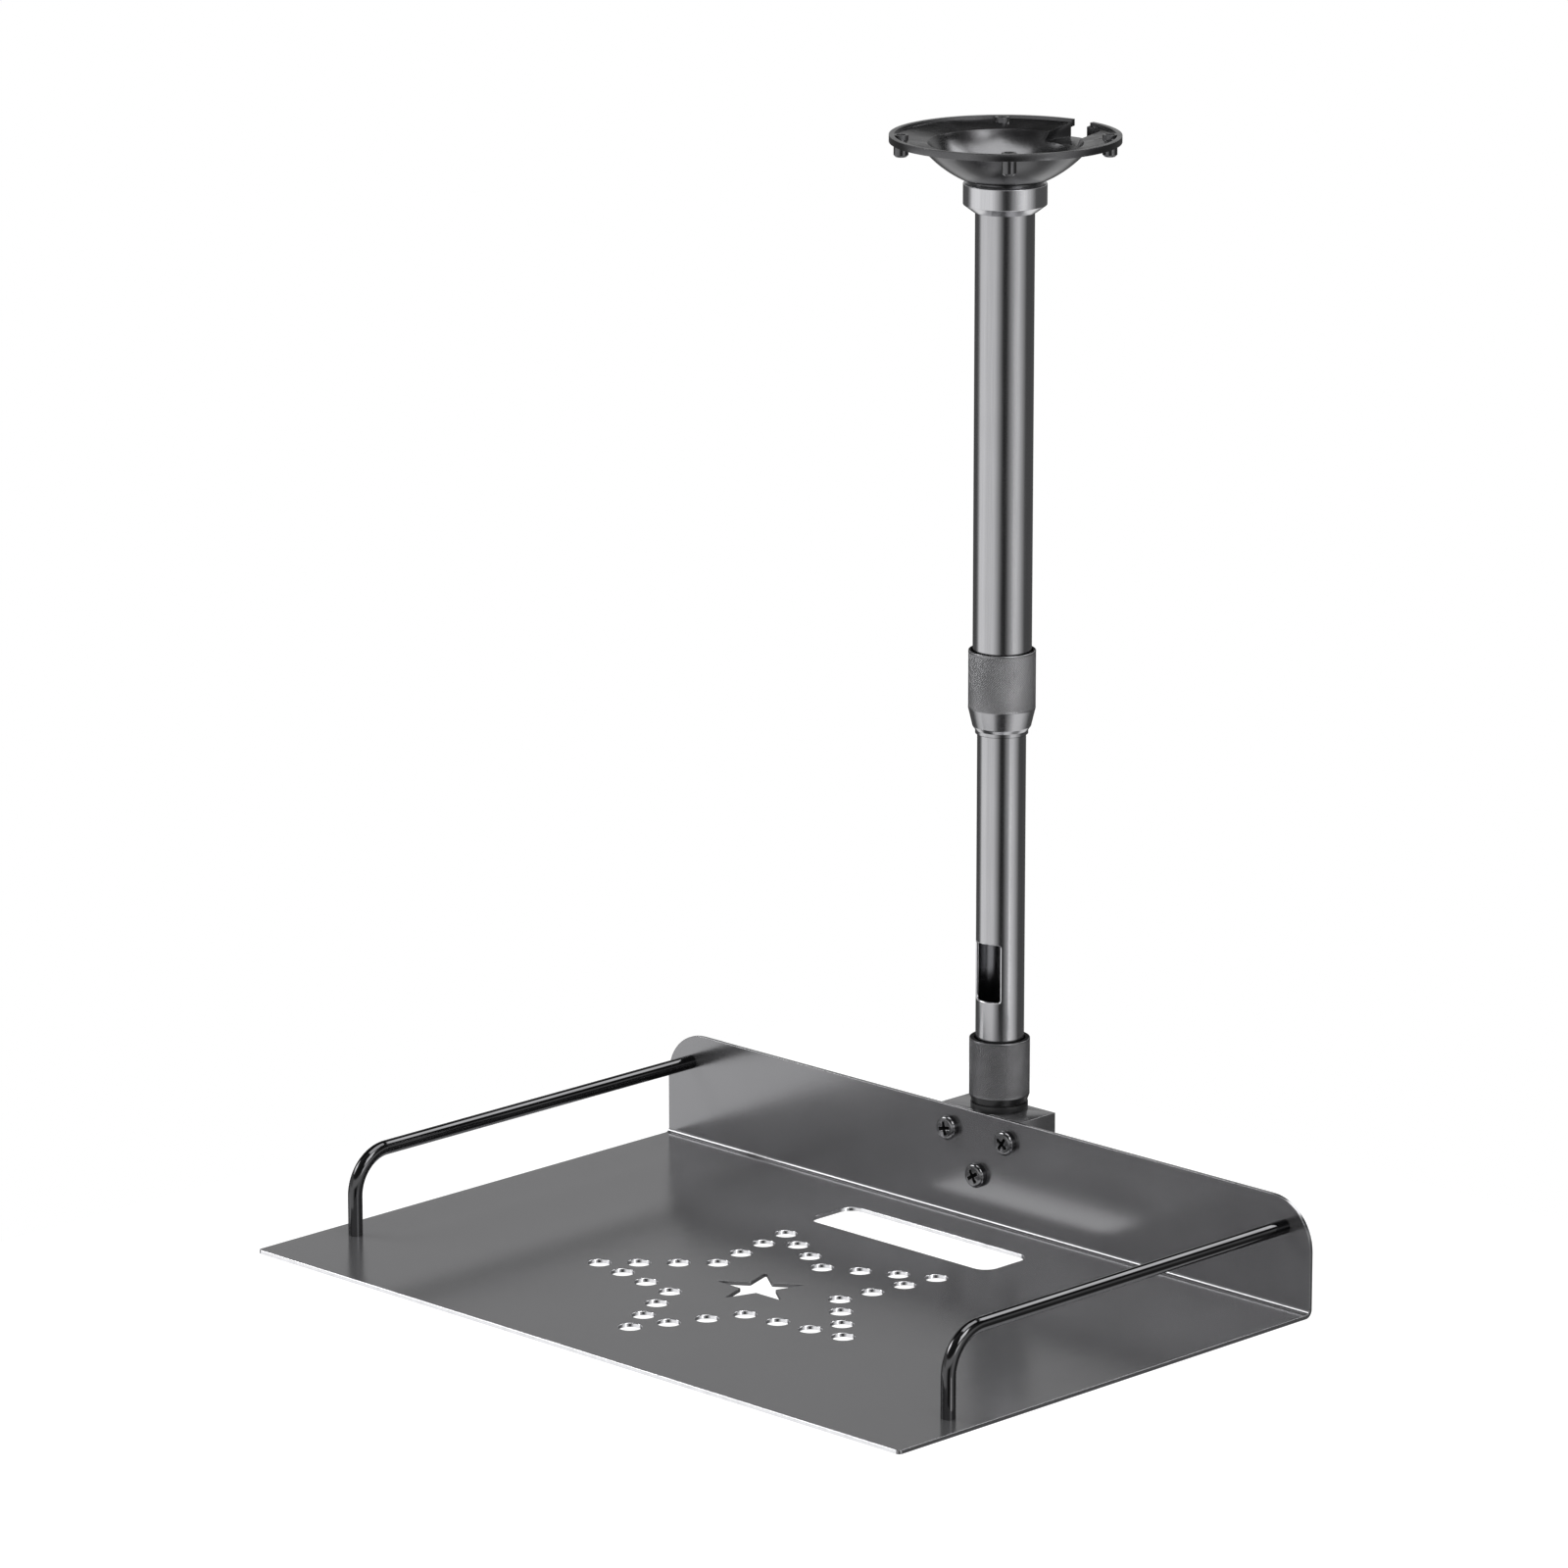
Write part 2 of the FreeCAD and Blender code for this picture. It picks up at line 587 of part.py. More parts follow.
def bent_sheet():
    """The sheet with its bend, before the corners are rounded and the holes are cut."""
    half = TRAY_W / 2
    outer = TRAY_BEND_R + TRAY_T
    bend_y = FLANGE_FACE_Y - TRAY_BEND_R
    bend_z = TRAY_FLOOR_Z + TRAY_BEND_R
    diagonal = math.sqrt(0.5)

    def at(y, z):
        return V(-half, y, z)

    def bend(radius):
        return at(bend_y + radius * diagonal, bend_z - radius * diagonal)

    section = Part.Wire([
        line(at(TRAY_FRONT_Y, TRAY_UNDER_Z), at(bend_y, TRAY_UNDER_Z)),
        arc(at(bend_y, TRAY_UNDER_Z), bend(outer), at(FLANGE_BACK_Y, bend_z)),
        line(at(FLANGE_BACK_Y, bend_z), at(FLANGE_BACK_Y, FLANGE_TOP_Z)),
        line(at(FLANGE_BACK_Y, FLANGE_TOP_Z), at(FLANGE_FACE_Y, FLANGE_TOP_Z)),
        line(at(FLANGE_FACE_Y, FLANGE_TOP_Z), at(FLANGE_FACE_Y, bend_z)),
        arc(at(FLANGE_FACE_Y, bend_z), bend(TRAY_BEND_R), at(bend_y, TRAY_FLOOR_Z)),
        line(at(bend_y, TRAY_FLOOR_Z), at(TRAY_FRONT_Y, TRAY_FLOOR_Z)),
        line(at(TRAY_FRONT_Y, TRAY_FLOOR_Z), at(TRAY_FRONT_Y, TRAY_UNDER_Z)),
    ])
    return Part.Face(section).extrude(V(TRAY_W, 0, 0))


def projector_tray():
    """Bent sheet: floor with vents, slot and star, and a back flange with round corners."""
    sheet = bent_sheet()
    sheet = sheet.makeFillet(FLANGE_CORNER_R, edges_at(sheet, BACKWARD, FLANGE_TOP_Z))
    sheet = sheet.makeFillet(FLOOR_CORNER_R, edges_at(sheet, UP, TRAY_FRONT_Y))
    cuts = vent_holes() + [centre_star(), floor_slot()] + tray_screw_holes()
    for x in (-RAIL_X, RAIL_X):
        cuts += rail_screw_holes(x, RAIL_SCREW_D / 2 + SCREW_GAP)
        cuts += rail_seats(x)
    return sheet.cut(cuts)


def rail_screw_holes(x, radius):
    """Holes for one rail's screws: up through the floor and forward through the flange."""
    length = RAIL_SCREW_L + 2 * OVER
    under = Part.makeCylinder(radius, length, V(x, RAIL_LEG_Y, TRAY_UNDER_Z - OVER), UP)
    behind_start = V(x, FLANGE_BACK_Y + OVER, RAIL_Z)
    behind = Part.makeCylinder(radius, length, behind_start, V(0, -1, 0))
    return [under, behind]


def rail_seats(x):
    """Shallow round seats that locate one rail's ends on the floor and the flange."""
    radius = RAIL_D / 2 + RUN
    on_floor = V(x, RAIL_LEG_Y, TRAY_FLOOR_Z - RAIL_SEAT)
    on_flange = V(x, FLANGE_FACE_Y + RAIL_SEAT, RAIL_Z)
    return [
        Part.makeCylinder(radius, RAIL_SEAT + OVER, on_floor, UP),
        Part.makeCylinder(radius, RAIL_SEAT + OVER, on_flange, V(0, -1, 0)),
    ]


def side_rail(x):
    """Bent round rod from the flange's face forward and down to the floor."""
    r = RAIL_BEND_R
    centre = V(x, RAIL_LEG_Y + r, RAIL_Z - r)
    diagonal = math.sqrt(0.5)
    start = V(x, FLANGE_FACE_Y + RAIL_SEAT, RAIL_Z)
    bend_start = centre + V(0, 0, r)
    bend_middle = centre + V(0, -r * diagonal, r * diagonal)
    bend_end = centre + V(0, -r, 0)
    foot = V(x, RAIL_LEG_Y, TRAY_FLOOR_Z - RAIL_SEAT)
    path = Part.Wire([
        line(start, bend_start),
        arc(bend_start, bend_middle, bend_end),
        line(bend_end, foot),
    ])
    circle = Part.Circle(start, V(0, -1, 0), RAIL_D / 2)
    rod = path.makePipeShell([Part.Wire(circle.toShape())], True, False)
    return rod.cut(rail_screw_holes(x, RAIL_SCREW_D / 2 + RUN))


def write_rail(side, x):
    """One side rail with the screw below the floor and the screw behind the flange."""
    put("rail_" + side, side_rail(x))
    places = {
        "floor": (V(x, RAIL_LEG_Y, TRAY_UNDER_Z), 180),
        "flange": (V(x, FLANGE_BACK_Y, RAIL_Z), -90),
    }
    for end, (place, degrees) in places.items():
        screw = pan_screw(RAIL_SCREW_HEAD_D, RAIL_SCREW_HEAD_H, RAIL_SCREW_D, RAIL_SCREW_L)
        put("rail_" + side + "_" + end + "_screw", screw_at(screw, place, degrees))


def write_parts():
    os.makedirs("parts", exist_ok=True)
    pieces = [
        ceiling_flange, flange_collar, upper_tube, upper_collet, upper_clamp_nut,
        lower_tube, tube_guide_bush, lower_clamp_nut, swivel_neck, neck_bolt,
        bracket_block, projector_tray,
    ]
    for piece in pieces:
        put(piece.__name__, piece())
    for name, place in tray_screw_places().items():
        screw = pan_screw(TRAY_SCREW_HEAD_D, TRAY_SCREW_HEAD_H, TRAY_SCREW_D, TRAY_SCREW_L)
        put(name, screw_at(screw, place, 90))
    write_rail("left", -RAIL_X)
    write_rail("right", RAIL_X)


write_parts()
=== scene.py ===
import math

import bmesh
import bpy
import numpy as np
from mathutils import Matrix, Vector, geometry


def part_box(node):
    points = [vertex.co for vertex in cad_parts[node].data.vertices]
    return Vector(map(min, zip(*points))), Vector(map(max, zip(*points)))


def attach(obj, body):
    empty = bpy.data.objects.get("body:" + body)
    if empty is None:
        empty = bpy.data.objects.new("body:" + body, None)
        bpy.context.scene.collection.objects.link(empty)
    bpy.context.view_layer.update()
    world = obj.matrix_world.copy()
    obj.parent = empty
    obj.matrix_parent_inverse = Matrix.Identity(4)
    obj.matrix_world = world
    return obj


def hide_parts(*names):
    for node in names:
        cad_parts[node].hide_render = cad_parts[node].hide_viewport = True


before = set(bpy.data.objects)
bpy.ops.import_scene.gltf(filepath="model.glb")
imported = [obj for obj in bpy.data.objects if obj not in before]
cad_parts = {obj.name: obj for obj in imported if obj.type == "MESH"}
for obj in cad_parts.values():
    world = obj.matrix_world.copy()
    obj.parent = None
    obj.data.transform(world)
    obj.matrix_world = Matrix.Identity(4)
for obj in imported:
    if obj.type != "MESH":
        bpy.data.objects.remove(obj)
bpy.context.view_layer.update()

# Looks of a projector ceiling mount. Lengths of pieces are in millimetres and are scaled by MM when
# a mesh is made. Camera, lights, floor and the materials' noise and bump are in metres. Heights and
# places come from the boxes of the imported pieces.
MM = 0.001
SAME = 1e-7  # mm, points this near are one
LEVEL = 1e-9  # mm, an edge that spans less runs along a line and isn't cut by it
TINY = 1e-6  # smallest length in mm, turn in radians or share that counts
WELD = 1e-7  # m, points this near are merged
PACKED_WELD = 1e-6  # m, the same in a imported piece's mesh
EDGE_STEPS = 3  # on each rounded edge of a sheet
FLAT_DEG = 0.5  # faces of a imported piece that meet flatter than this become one
SHARP_DEG = 30.0  # its edges sharper than this are rounded
SHADE_DEG = 28.0  # and shading breaks at edges sharper than this


def box_mm(node):
    low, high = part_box(node)
    return np.array(low) / MM, np.array(high) / MM


# Mesh helpers.

def build_mesh(name, points, normals, faces, marks=None):
    """A mesh from points in mm with a shading normal for each point. Marks give each face's
    material number."""
    points = np.asarray(points, float)
    normals = np.asarray(normals, float)
    normals /= np.linalg.norm(normals, axis=1)[:, None]
    used = np.zeros(len(points), bool)
    right, numbers = [], []
    marks = np.zeros(len(faces), int) if marks is None else np.asarray(marks)
    for size in (3, 4):
        pick = [i for i, face in enumerate(faces) if len(face) == size]
        if not pick:
            continue
        quads = np.array([faces[i] for i in pick])
        a, b, c, d = (points[quads[:, i]] for i in (0, 1, 2, size - 1))
        flat = np.cross(b - a, c - a) if size == 3 else np.cross(c - a, d - b)
        wrong = (flat * normals[quads].sum(1)).sum(1) < 0
        quads[wrong] = quads[wrong][:, ::-1]
        used[quads.ravel()] = True
        right += quads.tolist()
        numbers += marks[pick].tolist()
    place = np.cumsum(used) - 1
    right = [[int(place[i]) for i in face] for face in right]
    mesh = bpy.data.meshes.new(name)
    mesh.from_pydata((points[used] * MM).tolist(), [], right)
    mesh.update()
    mesh.polygons.foreach_set("material_index", numbers)
    mesh.shade_smooth()
    mesh.normals_split_custom_set_from_vertices(normals[used].tolist())
    return mesh


def add_object(name, mesh, body, slot, *nodes, finish=None, extra=()):
    """A visible piece. Its faces' material numbers count through its finish, which is the slot's
    unless given, and the extra ones."""
    obj = bpy.data.objects.new(name, mesh)
    bpy.context.scene.collection.objects.link(obj)
    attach(obj, body)
    if nodes:
        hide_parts(*nodes)
    numbers = np.zeros(len(mesh.polygons), np.int32)
    mesh.polygons.foreach_get("material_index", numbers)
    mesh.materials.clear()
    for key in (finish or slot, *extra):
        mesh.materials.append(MATERIALS[key])
    mesh.polygons.foreach_set("material_index", np.minimum(numbers, len(extra)))
    return obj


def evaluated(obj):
    """The mesh of an object with its modifiers applied, as a new mesh."""
    graph = bpy.context.evaluated_depsgraph_get()
    return bpy.data.meshes.new_from_object(obj.evaluated_get(graph))


def drop(obj):
    data = obj.data
    bpy.data.objects.remove(obj)
    bpy.data.meshes.remove(data)


def temp_object(mesh):
    obj = bpy.data.objects.new("temp", mesh)
    bpy.context.scene.collection.objects.link(obj)
    return obj


def rounded(corners, steps=5):
    """A closed outline with rounded corners. Each corner is (x, y, radius), anticlockwise.
    Gives rows of x, y and the outward normal; a sharp corner gives two rows."""
    rows = []
    n = len(corners)
    for i in range(n):
        p = np.array(corners[i][:2], float)
        radius = corners[i][2] if len(corners[i]) > 2 else 0.0
        into = p - np.array(corners[i - 1][:2], float)
        away = np.array(corners[(i + 1) % n][:2], float) - p
        into /= np.linalg.norm(into)
        away /= np.linalg.norm(away)
        n_in = np.array([into[1], -into[0]])
        n_out = np.array([away[1], -away[0]])
        turn = math.atan2(into[0] * away[1] - into[1] * away[0], into @ away)
        if radius <= 0 or abs(turn) < TINY:
            rows.append([*p, *n_in])
            if abs(turn) > TINY:
                rows.append([*p, *n_out])
            continue
        back = radius * math.tan(abs(turn) / 2)
        centre = p - into * back - n_in * radius * math.copysign(1, turn)
        start = math.atan2(n_in[1], n_in[0])
        for k in range(steps + 1):
            angle = start + turn * k / steps
            normal = np.array([math.cos(angle), math.sin(angle)])
            rows.append([*(centre + normal * radius * math.copysign(1, turn)), *normal])
    return np.array(rows)


def lathe(outline, segments=144, knurl=None):
    """Points, normals and faces of an outline of (radius, z, nr, nz) turned about Z. knurl gives
    the depth cut at each point and the cut's slopes around and up."""
    rows = np.asarray(outline, float)
    angles = np.arange(segments) * 2 * math.pi / segments
    cos, sin = np.cos(angles), np.sin(angles)
    r = np.repeat(rows[:, 0:1], segments, 1)
    z = np.repeat(rows[:, 1:2], segments, 1)
    nr = np.repeat(rows[:, 2:3], segments, 1)
    nz = np.repeat(rows[:, 3:4], segments, 1)
    nt = np.zeros_like(nr)
    if knurl is not None:
        cut, slope_u, slope_v = knurl(r, angles[None, :], z)
        r = r - cut
        nt = slope_u
        nz = nz + slope_v
    points = np.stack([r * cos, r * sin, z], 2).reshape(-1, 3)
    normals = np.stack([nr * cos - nt * sin, nr * sin + nt * cos, nz], 2).reshape(-1, 3)
    faces = []
    count = len(rows)
    for i in range(count):
        j = (i + 1) % count
        if np.linalg.norm(rows[i, :2] - rows[j, :2]) < SAME:
            continue
        for k in range(segments):
            m = (k + 1) % segments
            a, b, c, d = i * segments + k, i * segments + m, j * segments + m, j * segments + k
            if rows[i, 0] < SAME:
                faces.append((a, c, d))
            elif rows[j, 0] < SAME:
                faces.append((a, b, d))
            else:
                faces.append((a, b, c, d))
    return points, normals, faces


def joined(*parts):
    """Several (points, normals, faces) as one."""
    points, normals, faces, base = [], [], [], 0
    for p, n, f in parts:
        points.append(np.asarray(p))
        normals.append(np.asarray(n))
        faces += [tuple(base + i for i in face) for face in f]
        base += len(p)
    return np.concatenate(points), np.concatenate(normals), faces


def split_loop(rows, us=(), vs=()):
    """Adds points where a loop crosses lines of constant u or v."""
    out = []
    n = len(rows)
    for i in range(n):
        a, b = rows[i], rows[(i + 1) % n]
        out.append(a)
        cuts = []
        for axis, values in ((0, us), (1, vs)):
            span = b[axis] - a[axis]
            if abs(span) > LEVEL:
                for value in values:
                    t = (value - a[axis]) / span
                    if TINY < t < 1 - TINY:
                        cuts.append(t)
        for t in sorted(set(round(t, 9) for t in cuts)):
            out.append(a + (b - a) * t)
    return np.array(out)


def inside(points, loops):
    """Which points lie inside the outer loop and outside the holes."""
    odd = np.zeros(len(points), bool)
    x, y = points[:, 0], points[:, 1]
    for loop in loops:
        a = loop[:, :2]
        b = np.roll(a, -1, 0)
        for (x1, y1), (x2, y2) in zip(a, b):
            if y1 == y2:
                continue
            hit = ((y1 > y) != (y2 > y)) & (x < (x2 - x1) * (y - y1) / (y2 - y1) + x1)
            odd ^= hit
    return odd


def sheet(loops, thick, edge, place, lines=(), open_u=None, cut=(), cut_v=None):
    """A sheet with rounded edges, laid out flat and then put in place by place(u, v, w). lines
    are more edges inside it, and its walls at u = +-open_u are left out. The edges of the loops
    whose numbers are in cut, and those at v = cut_v, get mark 1."""
    points, normals, faces, marks = [], [], [], []
    count = 0

    def put(u, v, w, nu, nv, nw):
        nonlocal count
        p, eu, ev, ew = place(u, v, w)
        points.append(p)
        normals.append(nu[:, None] * eu + nv[:, None] * ev + nw[:, None] * ew)
        start = count
        count += len(u)
        return start

    inset = []
    for rows in loops:
        flat = rows.copy()
        flat[:, :2] -= flat[:, 2:4] * edge
        inset.append(flat)
    coords, edges = [], []
    for rows in inset:
        base, n = len(coords), len(rows)
        coords += [Vector(p) for p in rows[:, :2]]
        edges += [(base + i, base + (i + 1) % n) for i in range(n)]
    for a, b in lines:
        edges.append((len(coords), len(coords) + 1))
        coords += [Vector(a), Vector(b)]
    made = geometry.delaunay_2d_cdt(coords, edges, [], 0, TINY)
    flat = np.array([tuple(v) for v in made[0]])
    tris = np.array([f for f in made[2] if len(f) == 3])
    tris = tris[inside(flat[tris].mean(1), inset)]
    zero, one = np.zeros(len(flat)), np.ones(len(flat))
    for w, nw in ((0.0, -1.0), (thick, 1.0)):
        start = put(flat[:, 0], flat[:, 1], one * w, zero, zero, one * nw)
        faces += [tuple(int(start + i) for i in tri) for tri in tris]
        marks += [0] * len(tris)
    for number, rows in enumerate(loops):
        n = len(rows)
        zero, one = np.zeros(n), np.ones(n)
        rings = []
        for k in range(2 * (EDGE_STEPS + 1)):
            first = k <= EDGE_STEPS
            phi = (k if first else 2 * EDGE_STEPS + 1 - k) / EDGE_STEPS * math.pi / 2
            back = edge * (1 - math.sin(phi))
            w = edge * (1 - math.cos(phi))
            u = rows[:, 0] - rows[:, 2] * back
            v = rows[:, 1] - rows[:, 3] * back
            side, face = math.sin(phi), math.cos(phi)
            height, lean = (w, -face) if first else (thick - w, face)
            rings.append(put(u, v, one * height, rows[:, 2] * side, rows[:, 3] * side, one * lean))
        for a, b in zip(rings, rings[1:]):
            for i in range(n):
                j = (i + 1) % n
                if np.linalg.norm(rows[i, :2] - rows[j, :2]) < SAME:
                    continue
                if open_u is not None and max(abs(abs(rows[[i, j], 0]) - open_u)) < TINY:
                    continue
                faces.append((a + i, a + j, b + j, b + i))
                # Mark 1 carries the painted highlight.
                straight = cut_v is not None and max(abs(rows[[i, j], 1] - cut_v)) < TINY
                marks.append(int(number in cut or straight))
    return np.concatenate(points), np.concatenate(normals), faces, marks


def refined(node, edge, segments):
    """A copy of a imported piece's mesh with its sharp edges rounded."""
    mesh = bpy.data.meshes.new(node + "_copy")
    bm = bmesh.new()
    bm.from_mesh(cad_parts[node].data)
    bmesh.ops.remove_doubles(bm, verts=bm.verts, dist=PACKED_WELD)
    bmesh.ops.dissolve_limit(bm, angle_limit=math.radians(FLAT_DEG), verts=bm.verts, edges=bm.edges)
    sharp = [e for e in bm.edges if len(e.link_faces) == 2
             and e.calc_face_angle(0) > math.radians(SHARP_DEG)]
    bmesh.ops.bevel(bm, geom=sharp, offset=edge * MM, segments=segments, profile=0.5,
                    affect="EDGES", clamp_overlap=True, harden_normals=False)
    bmesh.ops.recalc_face_normals(bm, faces=bm.faces)
    bm.to_mesh(mesh)
    bm.free()
    mesh.shade_smooth()
    mesh.set_sharp_from_angle(angle=math.radians(SHADE_DEG))
    return mesh


# Materials.

COOL_TINT = (1.0, 1.0, 1.03)  # the greys lean a little to blue


class Nodes:
    """Small helper that adds shader nodes to a tree."""

    def __init__(self, tree):
        self.tree = tree
        tree.nodes.clear()

    def add(self, kind):
        return self.tree.nodes.new(kind)

    def link(self, source, target):
        self.tree.links.new(source, target)

    def math(self, operation, a, b):
        node = self.add("ShaderNodeMath")
        node.operation = operation
        for i, value in enumerate((a, b)):
            if isinstance(value, (int, float)):
                node.inputs[i].default_value = value
            else:
                self.link(value, node.inputs[i])
        return node.outputs[0]

    def noise(self, vector, scale, detail=2.0, roughness=0.5, stretch=None):
        if stretch is not None:
            mapping = self.add("ShaderNodeMapping")
            mapping.inputs["Scale"].default_value = stretch
            self.link(vector, mapping.inputs["Vector"])
            vector = mapping.outputs[0]
        node = self.add("ShaderNodeTexNoise")
        node.inputs["Scale"].default_value = scale
        node.inputs["Detail"].default_value = detail
        node.inputs["Roughness"].default_value = roughness
        self.link(vector, node.inputs["Vector"])
        return node.outputs[0]

    def spread(self, value, low, high, from_low=0.3, from_high=0.7):
        """Maps a value to low..high. Noise lies mostly between 0.3 and 0.7."""
        node = self.add("ShaderNodeMapRange")
        node.inputs["From Min"].default_value = from_low
        node.inputs["From Max"].default_value = from_high
        node.inputs["To Min"].default_value = low
        node.inputs["To Max"].default_value = high
        self.link(value, node.inputs["Value"])
        return node.outputs[0]

    def grey(self, value):
        node = self.add("ShaderNodeCombineColor")
        for i, share in enumerate(COOL_TINT):
            self.link(self.math("MULTIPLY", value, share), node.inputs[i])
        return node.outputs[0]

    def mix(self, share, first, second):
        node = self.add("ShaderNodeMixShader")
        for source, target in zip((share, first, second), node.inputs):
            self.link(source, target)
        return node.outputs[0]

    def background(self, strength):
        """A white background of a fixed strength, or of one that a node gives."""
        node = self.add("ShaderNodeBackground")
        node.inputs["Color"].default_value = (1, 1, 1, 1)
        if isinstance(strength, float):
            node.inputs["Strength"].default_value = strength
        else:
            self.link(strength, node.inputs["Strength"])
        return node.outputs[0]

    def bump(self, height, distance, strength, before=None):
        node = self.add("ShaderNodeBump")
        node.inputs["Strength"].default_value = strength
        node.inputs["Distance"].default_value = distance
        self.link(height, node.inputs["Height"])
        if before is not None:
            self.link(before, node.inputs["Normal"])
        return node.outputs[0]


def finish_material(name, metallic, make, specular=0.5):
    """make(nodes, coordinates) gives the grey of the base colour, the roughness and the normal."""
    material = bpy.data.materials.new(name)
    material.use_nodes = True
    nodes = Nodes(material.node_tree)
    out = nodes.add("ShaderNodeOutputMaterial")
    shader = nodes.add("ShaderNodeBsdfPrincipled")
    shader.inputs["Metallic"].default_value = metallic
    shader.inputs["Specular IOR Level"].default_value = specular
    nodes.link(shader.outputs[0], out.inputs[0])
    tone, rough, normal = make(nodes, nodes.add("ShaderNodeTexCoord").outputs["Object"])
    nodes.link(nodes.grey(tone), shader.inputs["Base Color"])
    nodes.link(rough, shader.inputs["Roughness"])
    nodes.link(normal, shader.inputs["Normal"])
    return material


# In the finishes, noise takes its scale per metre, its detail and its roughness, spread the lowest
# and highest value, and bump its height in metres and its strength.

def powder(nodes, at):
    """Satin powder coat: fine orange peel, a faint cloud in its gloss."""
    grain = nodes.noise(at, 2600.0, 3.0, 0.6)
    peel = nodes.noise(at, 700.0, 2.0, 0.5)
    cloud = nodes.noise(at, 22.0, 3.0, 0.55)
    tone = nodes.math("MULTIPLY", nodes.spread(grain, 0.93, 1.07), nodes.spread(cloud, 0.97, 1.03))
    rough = nodes.math("ADD", nodes.spread(cloud, 0.18, 0.21), nodes.spread(grain, -0.02, 0.02))
    normal = nodes.bump(grain, 0.00003, 0.25, nodes.bump(peel, 0.00004, 0.25))
    return nodes.math("MULTIPLY", tone, 0.25), rough, normal


def painted_highlight_edge(nodes, at):
    """Painted highlight: bright steel on the edges with mark 1, standing in for the light these
    edges catch and the white they reflect.
    """
    lines = nodes.noise(at, 1500.0, 2.0, 0.5)
    cloud = nodes.noise(at, 160.0, 3.0, 0.6)
    return (nodes.spread(cloud, 0.68, 0.80), nodes.spread(lines, 0.14, 0.22),
            nodes.bump(lines, 0.00003, 0.3))


def tube_metal(base):
    """Satin dark nickel with very fine lengthwise polish lines."""
    def make(nodes, at):
        lines = nodes.noise(at, 1.0, 3.0, 0.6, stretch=(2600.0, 2600.0, 26.0))
        cloud = nodes.noise(at, 35.0, 2.0, 0.5)
        tone = nodes.math("MULTIPLY", nodes.spread(lines, 0.95, 1.05),
                          nodes.spread(cloud, 0.98, 1.02))
        return (nodes.math("MULTIPLY", tone, base), nodes.spread(lines, 0.15, 0.20),
                nodes.bump(lines, 0.000012, 0.2))
    return make


def casting(nodes, at):
    """Glossy gunmetal over a casting that is not quite even."""
    wave = nodes.noise(at, 90.0, 2.0, 0.5)
    grain = nodes.noise(at, 1500.0, 3.0, 0.6)
    normal = nodes.bump(grain, 0.00004, 0.3, nodes.bump(wave, 0.0004, 0.25))
    return (nodes.math("MULTIPLY", nodes.spread(grain, 0.92, 1.08), 0.115),
            nodes.spread(wave, 0.20, 0.27), normal)


def knurled(base):
    """Dull dark steel between the cuts of a knurl."""
    def make(nodes, at):
        cloud = nodes.noise(at, 120.0, 3.0, 0.6)
        grain = nodes.noise(at, 3000.0, 2.0, 0.6)
        return (nodes.spread(cloud, 0.9 * base, 1.1 * base), nodes.spread(grain, 0.30, 0.40),
                nodes.bump(grain, 0.00003, 0.25))
    return make


def satin_black(nodes, at):
    grain = nodes.noise(at, 2400.0, 3.0, 0.6)
    cloud = nodes.noise(at, 60.0, 2.0, 0.5)
    return (nodes.spread(cloud, 0.020, 0.030), nodes.spread(grain, 0.28, 0.36),
            nodes.bump(grain, 0.00003, 0.3))


def black_nickel(nodes, at):
    """Smooth dark plating with faint drawing lines."""
    cloud = nodes.noise(at, 50.0, 2.0, 0.5)
    fine = nodes.noise(at, 1800.0, 2.0, 0.5)
    return (nodes.spread(cloud, 0.075, 0.09), nodes.spread(fine, 0.07, 0.10),
            nodes.bump(fine, 0.00002, 0.15))


def dark_zinc(nodes, at):
    cloud = nodes.noise(at, 300.0, 3.0, 0.6)
    return (nodes.spread(cloud, 0.15, 0.21), nodes.spread(cloud, 0.11, 0.17),
            nodes.bump(cloud, 0.00003, 0.2))


def moulded(nodes, at):
    grain = nodes.noise(at, 1800.0, 3.0, 0.6)
    return (nodes.spread(grain, 0.018, 0.026), nodes.spread(grain, 0.45, 0.55),
            nodes.bump(grain, 0.00005, 0.3))


def painted_gap_shade(nodes, at):
    """Painted shade: near-black in the nuts' mouths and bores and in the screws' recesses, where
    shade falls.
    """
    grain = nodes.noise(at, 900.0, 3.0, 0.6)
    return (nodes.spread(grain, 0.006, 0.012), nodes.spread(grain, 0.50, 0.65),
            nodes.bump(grain, 0.00004, 0.3))


MATERIALS = {
    "powder_coat": finish_material("powder_coat", 0.85, powder),
    # Painted highlight on the marked edges of the tray and the lower tube.
    "painted_highlight_edge": finish_material("painted_highlight_edge", 1.0, painted_highlight_edge),
    "satin_tube": finish_material("satin_tube", 1.0, tube_metal(0.44)),
    "satin_collar": finish_material("satin_collar", 1.0, tube_metal(0.58)),
    "flange_casting": finish_material("flange_casting", 1.0, casting),
    # One knurled steel in two tones: the lower nut's darker copy is painted shade from the tray,
    # the upper nut's lighter copy is painted light.
    "knurled_nut": finish_material("knurled_nut", 1.0, knurled(0.20)),
    "knurled_painted_light": finish_material("knurled_painted_light", 1.0, knurled(0.29)),
    "dark_metal": finish_material("dark_metal", 0.5, satin_black),
    "rail_finish": finish_material("rail_finish", 1.0, black_nickel),
    "screw_steel": finish_material("screw_steel", 1.0, dark_zinc),
    "nylon": finish_material("nylon", 0.0, moulded),
    # Painted shade for the nuts' mouths and the screws' recesses.
    "painted_gap_shade": finish_material("painted_gap_shade", 0.0, painted_gap_shade, specular=0.05),
}

# Tray.

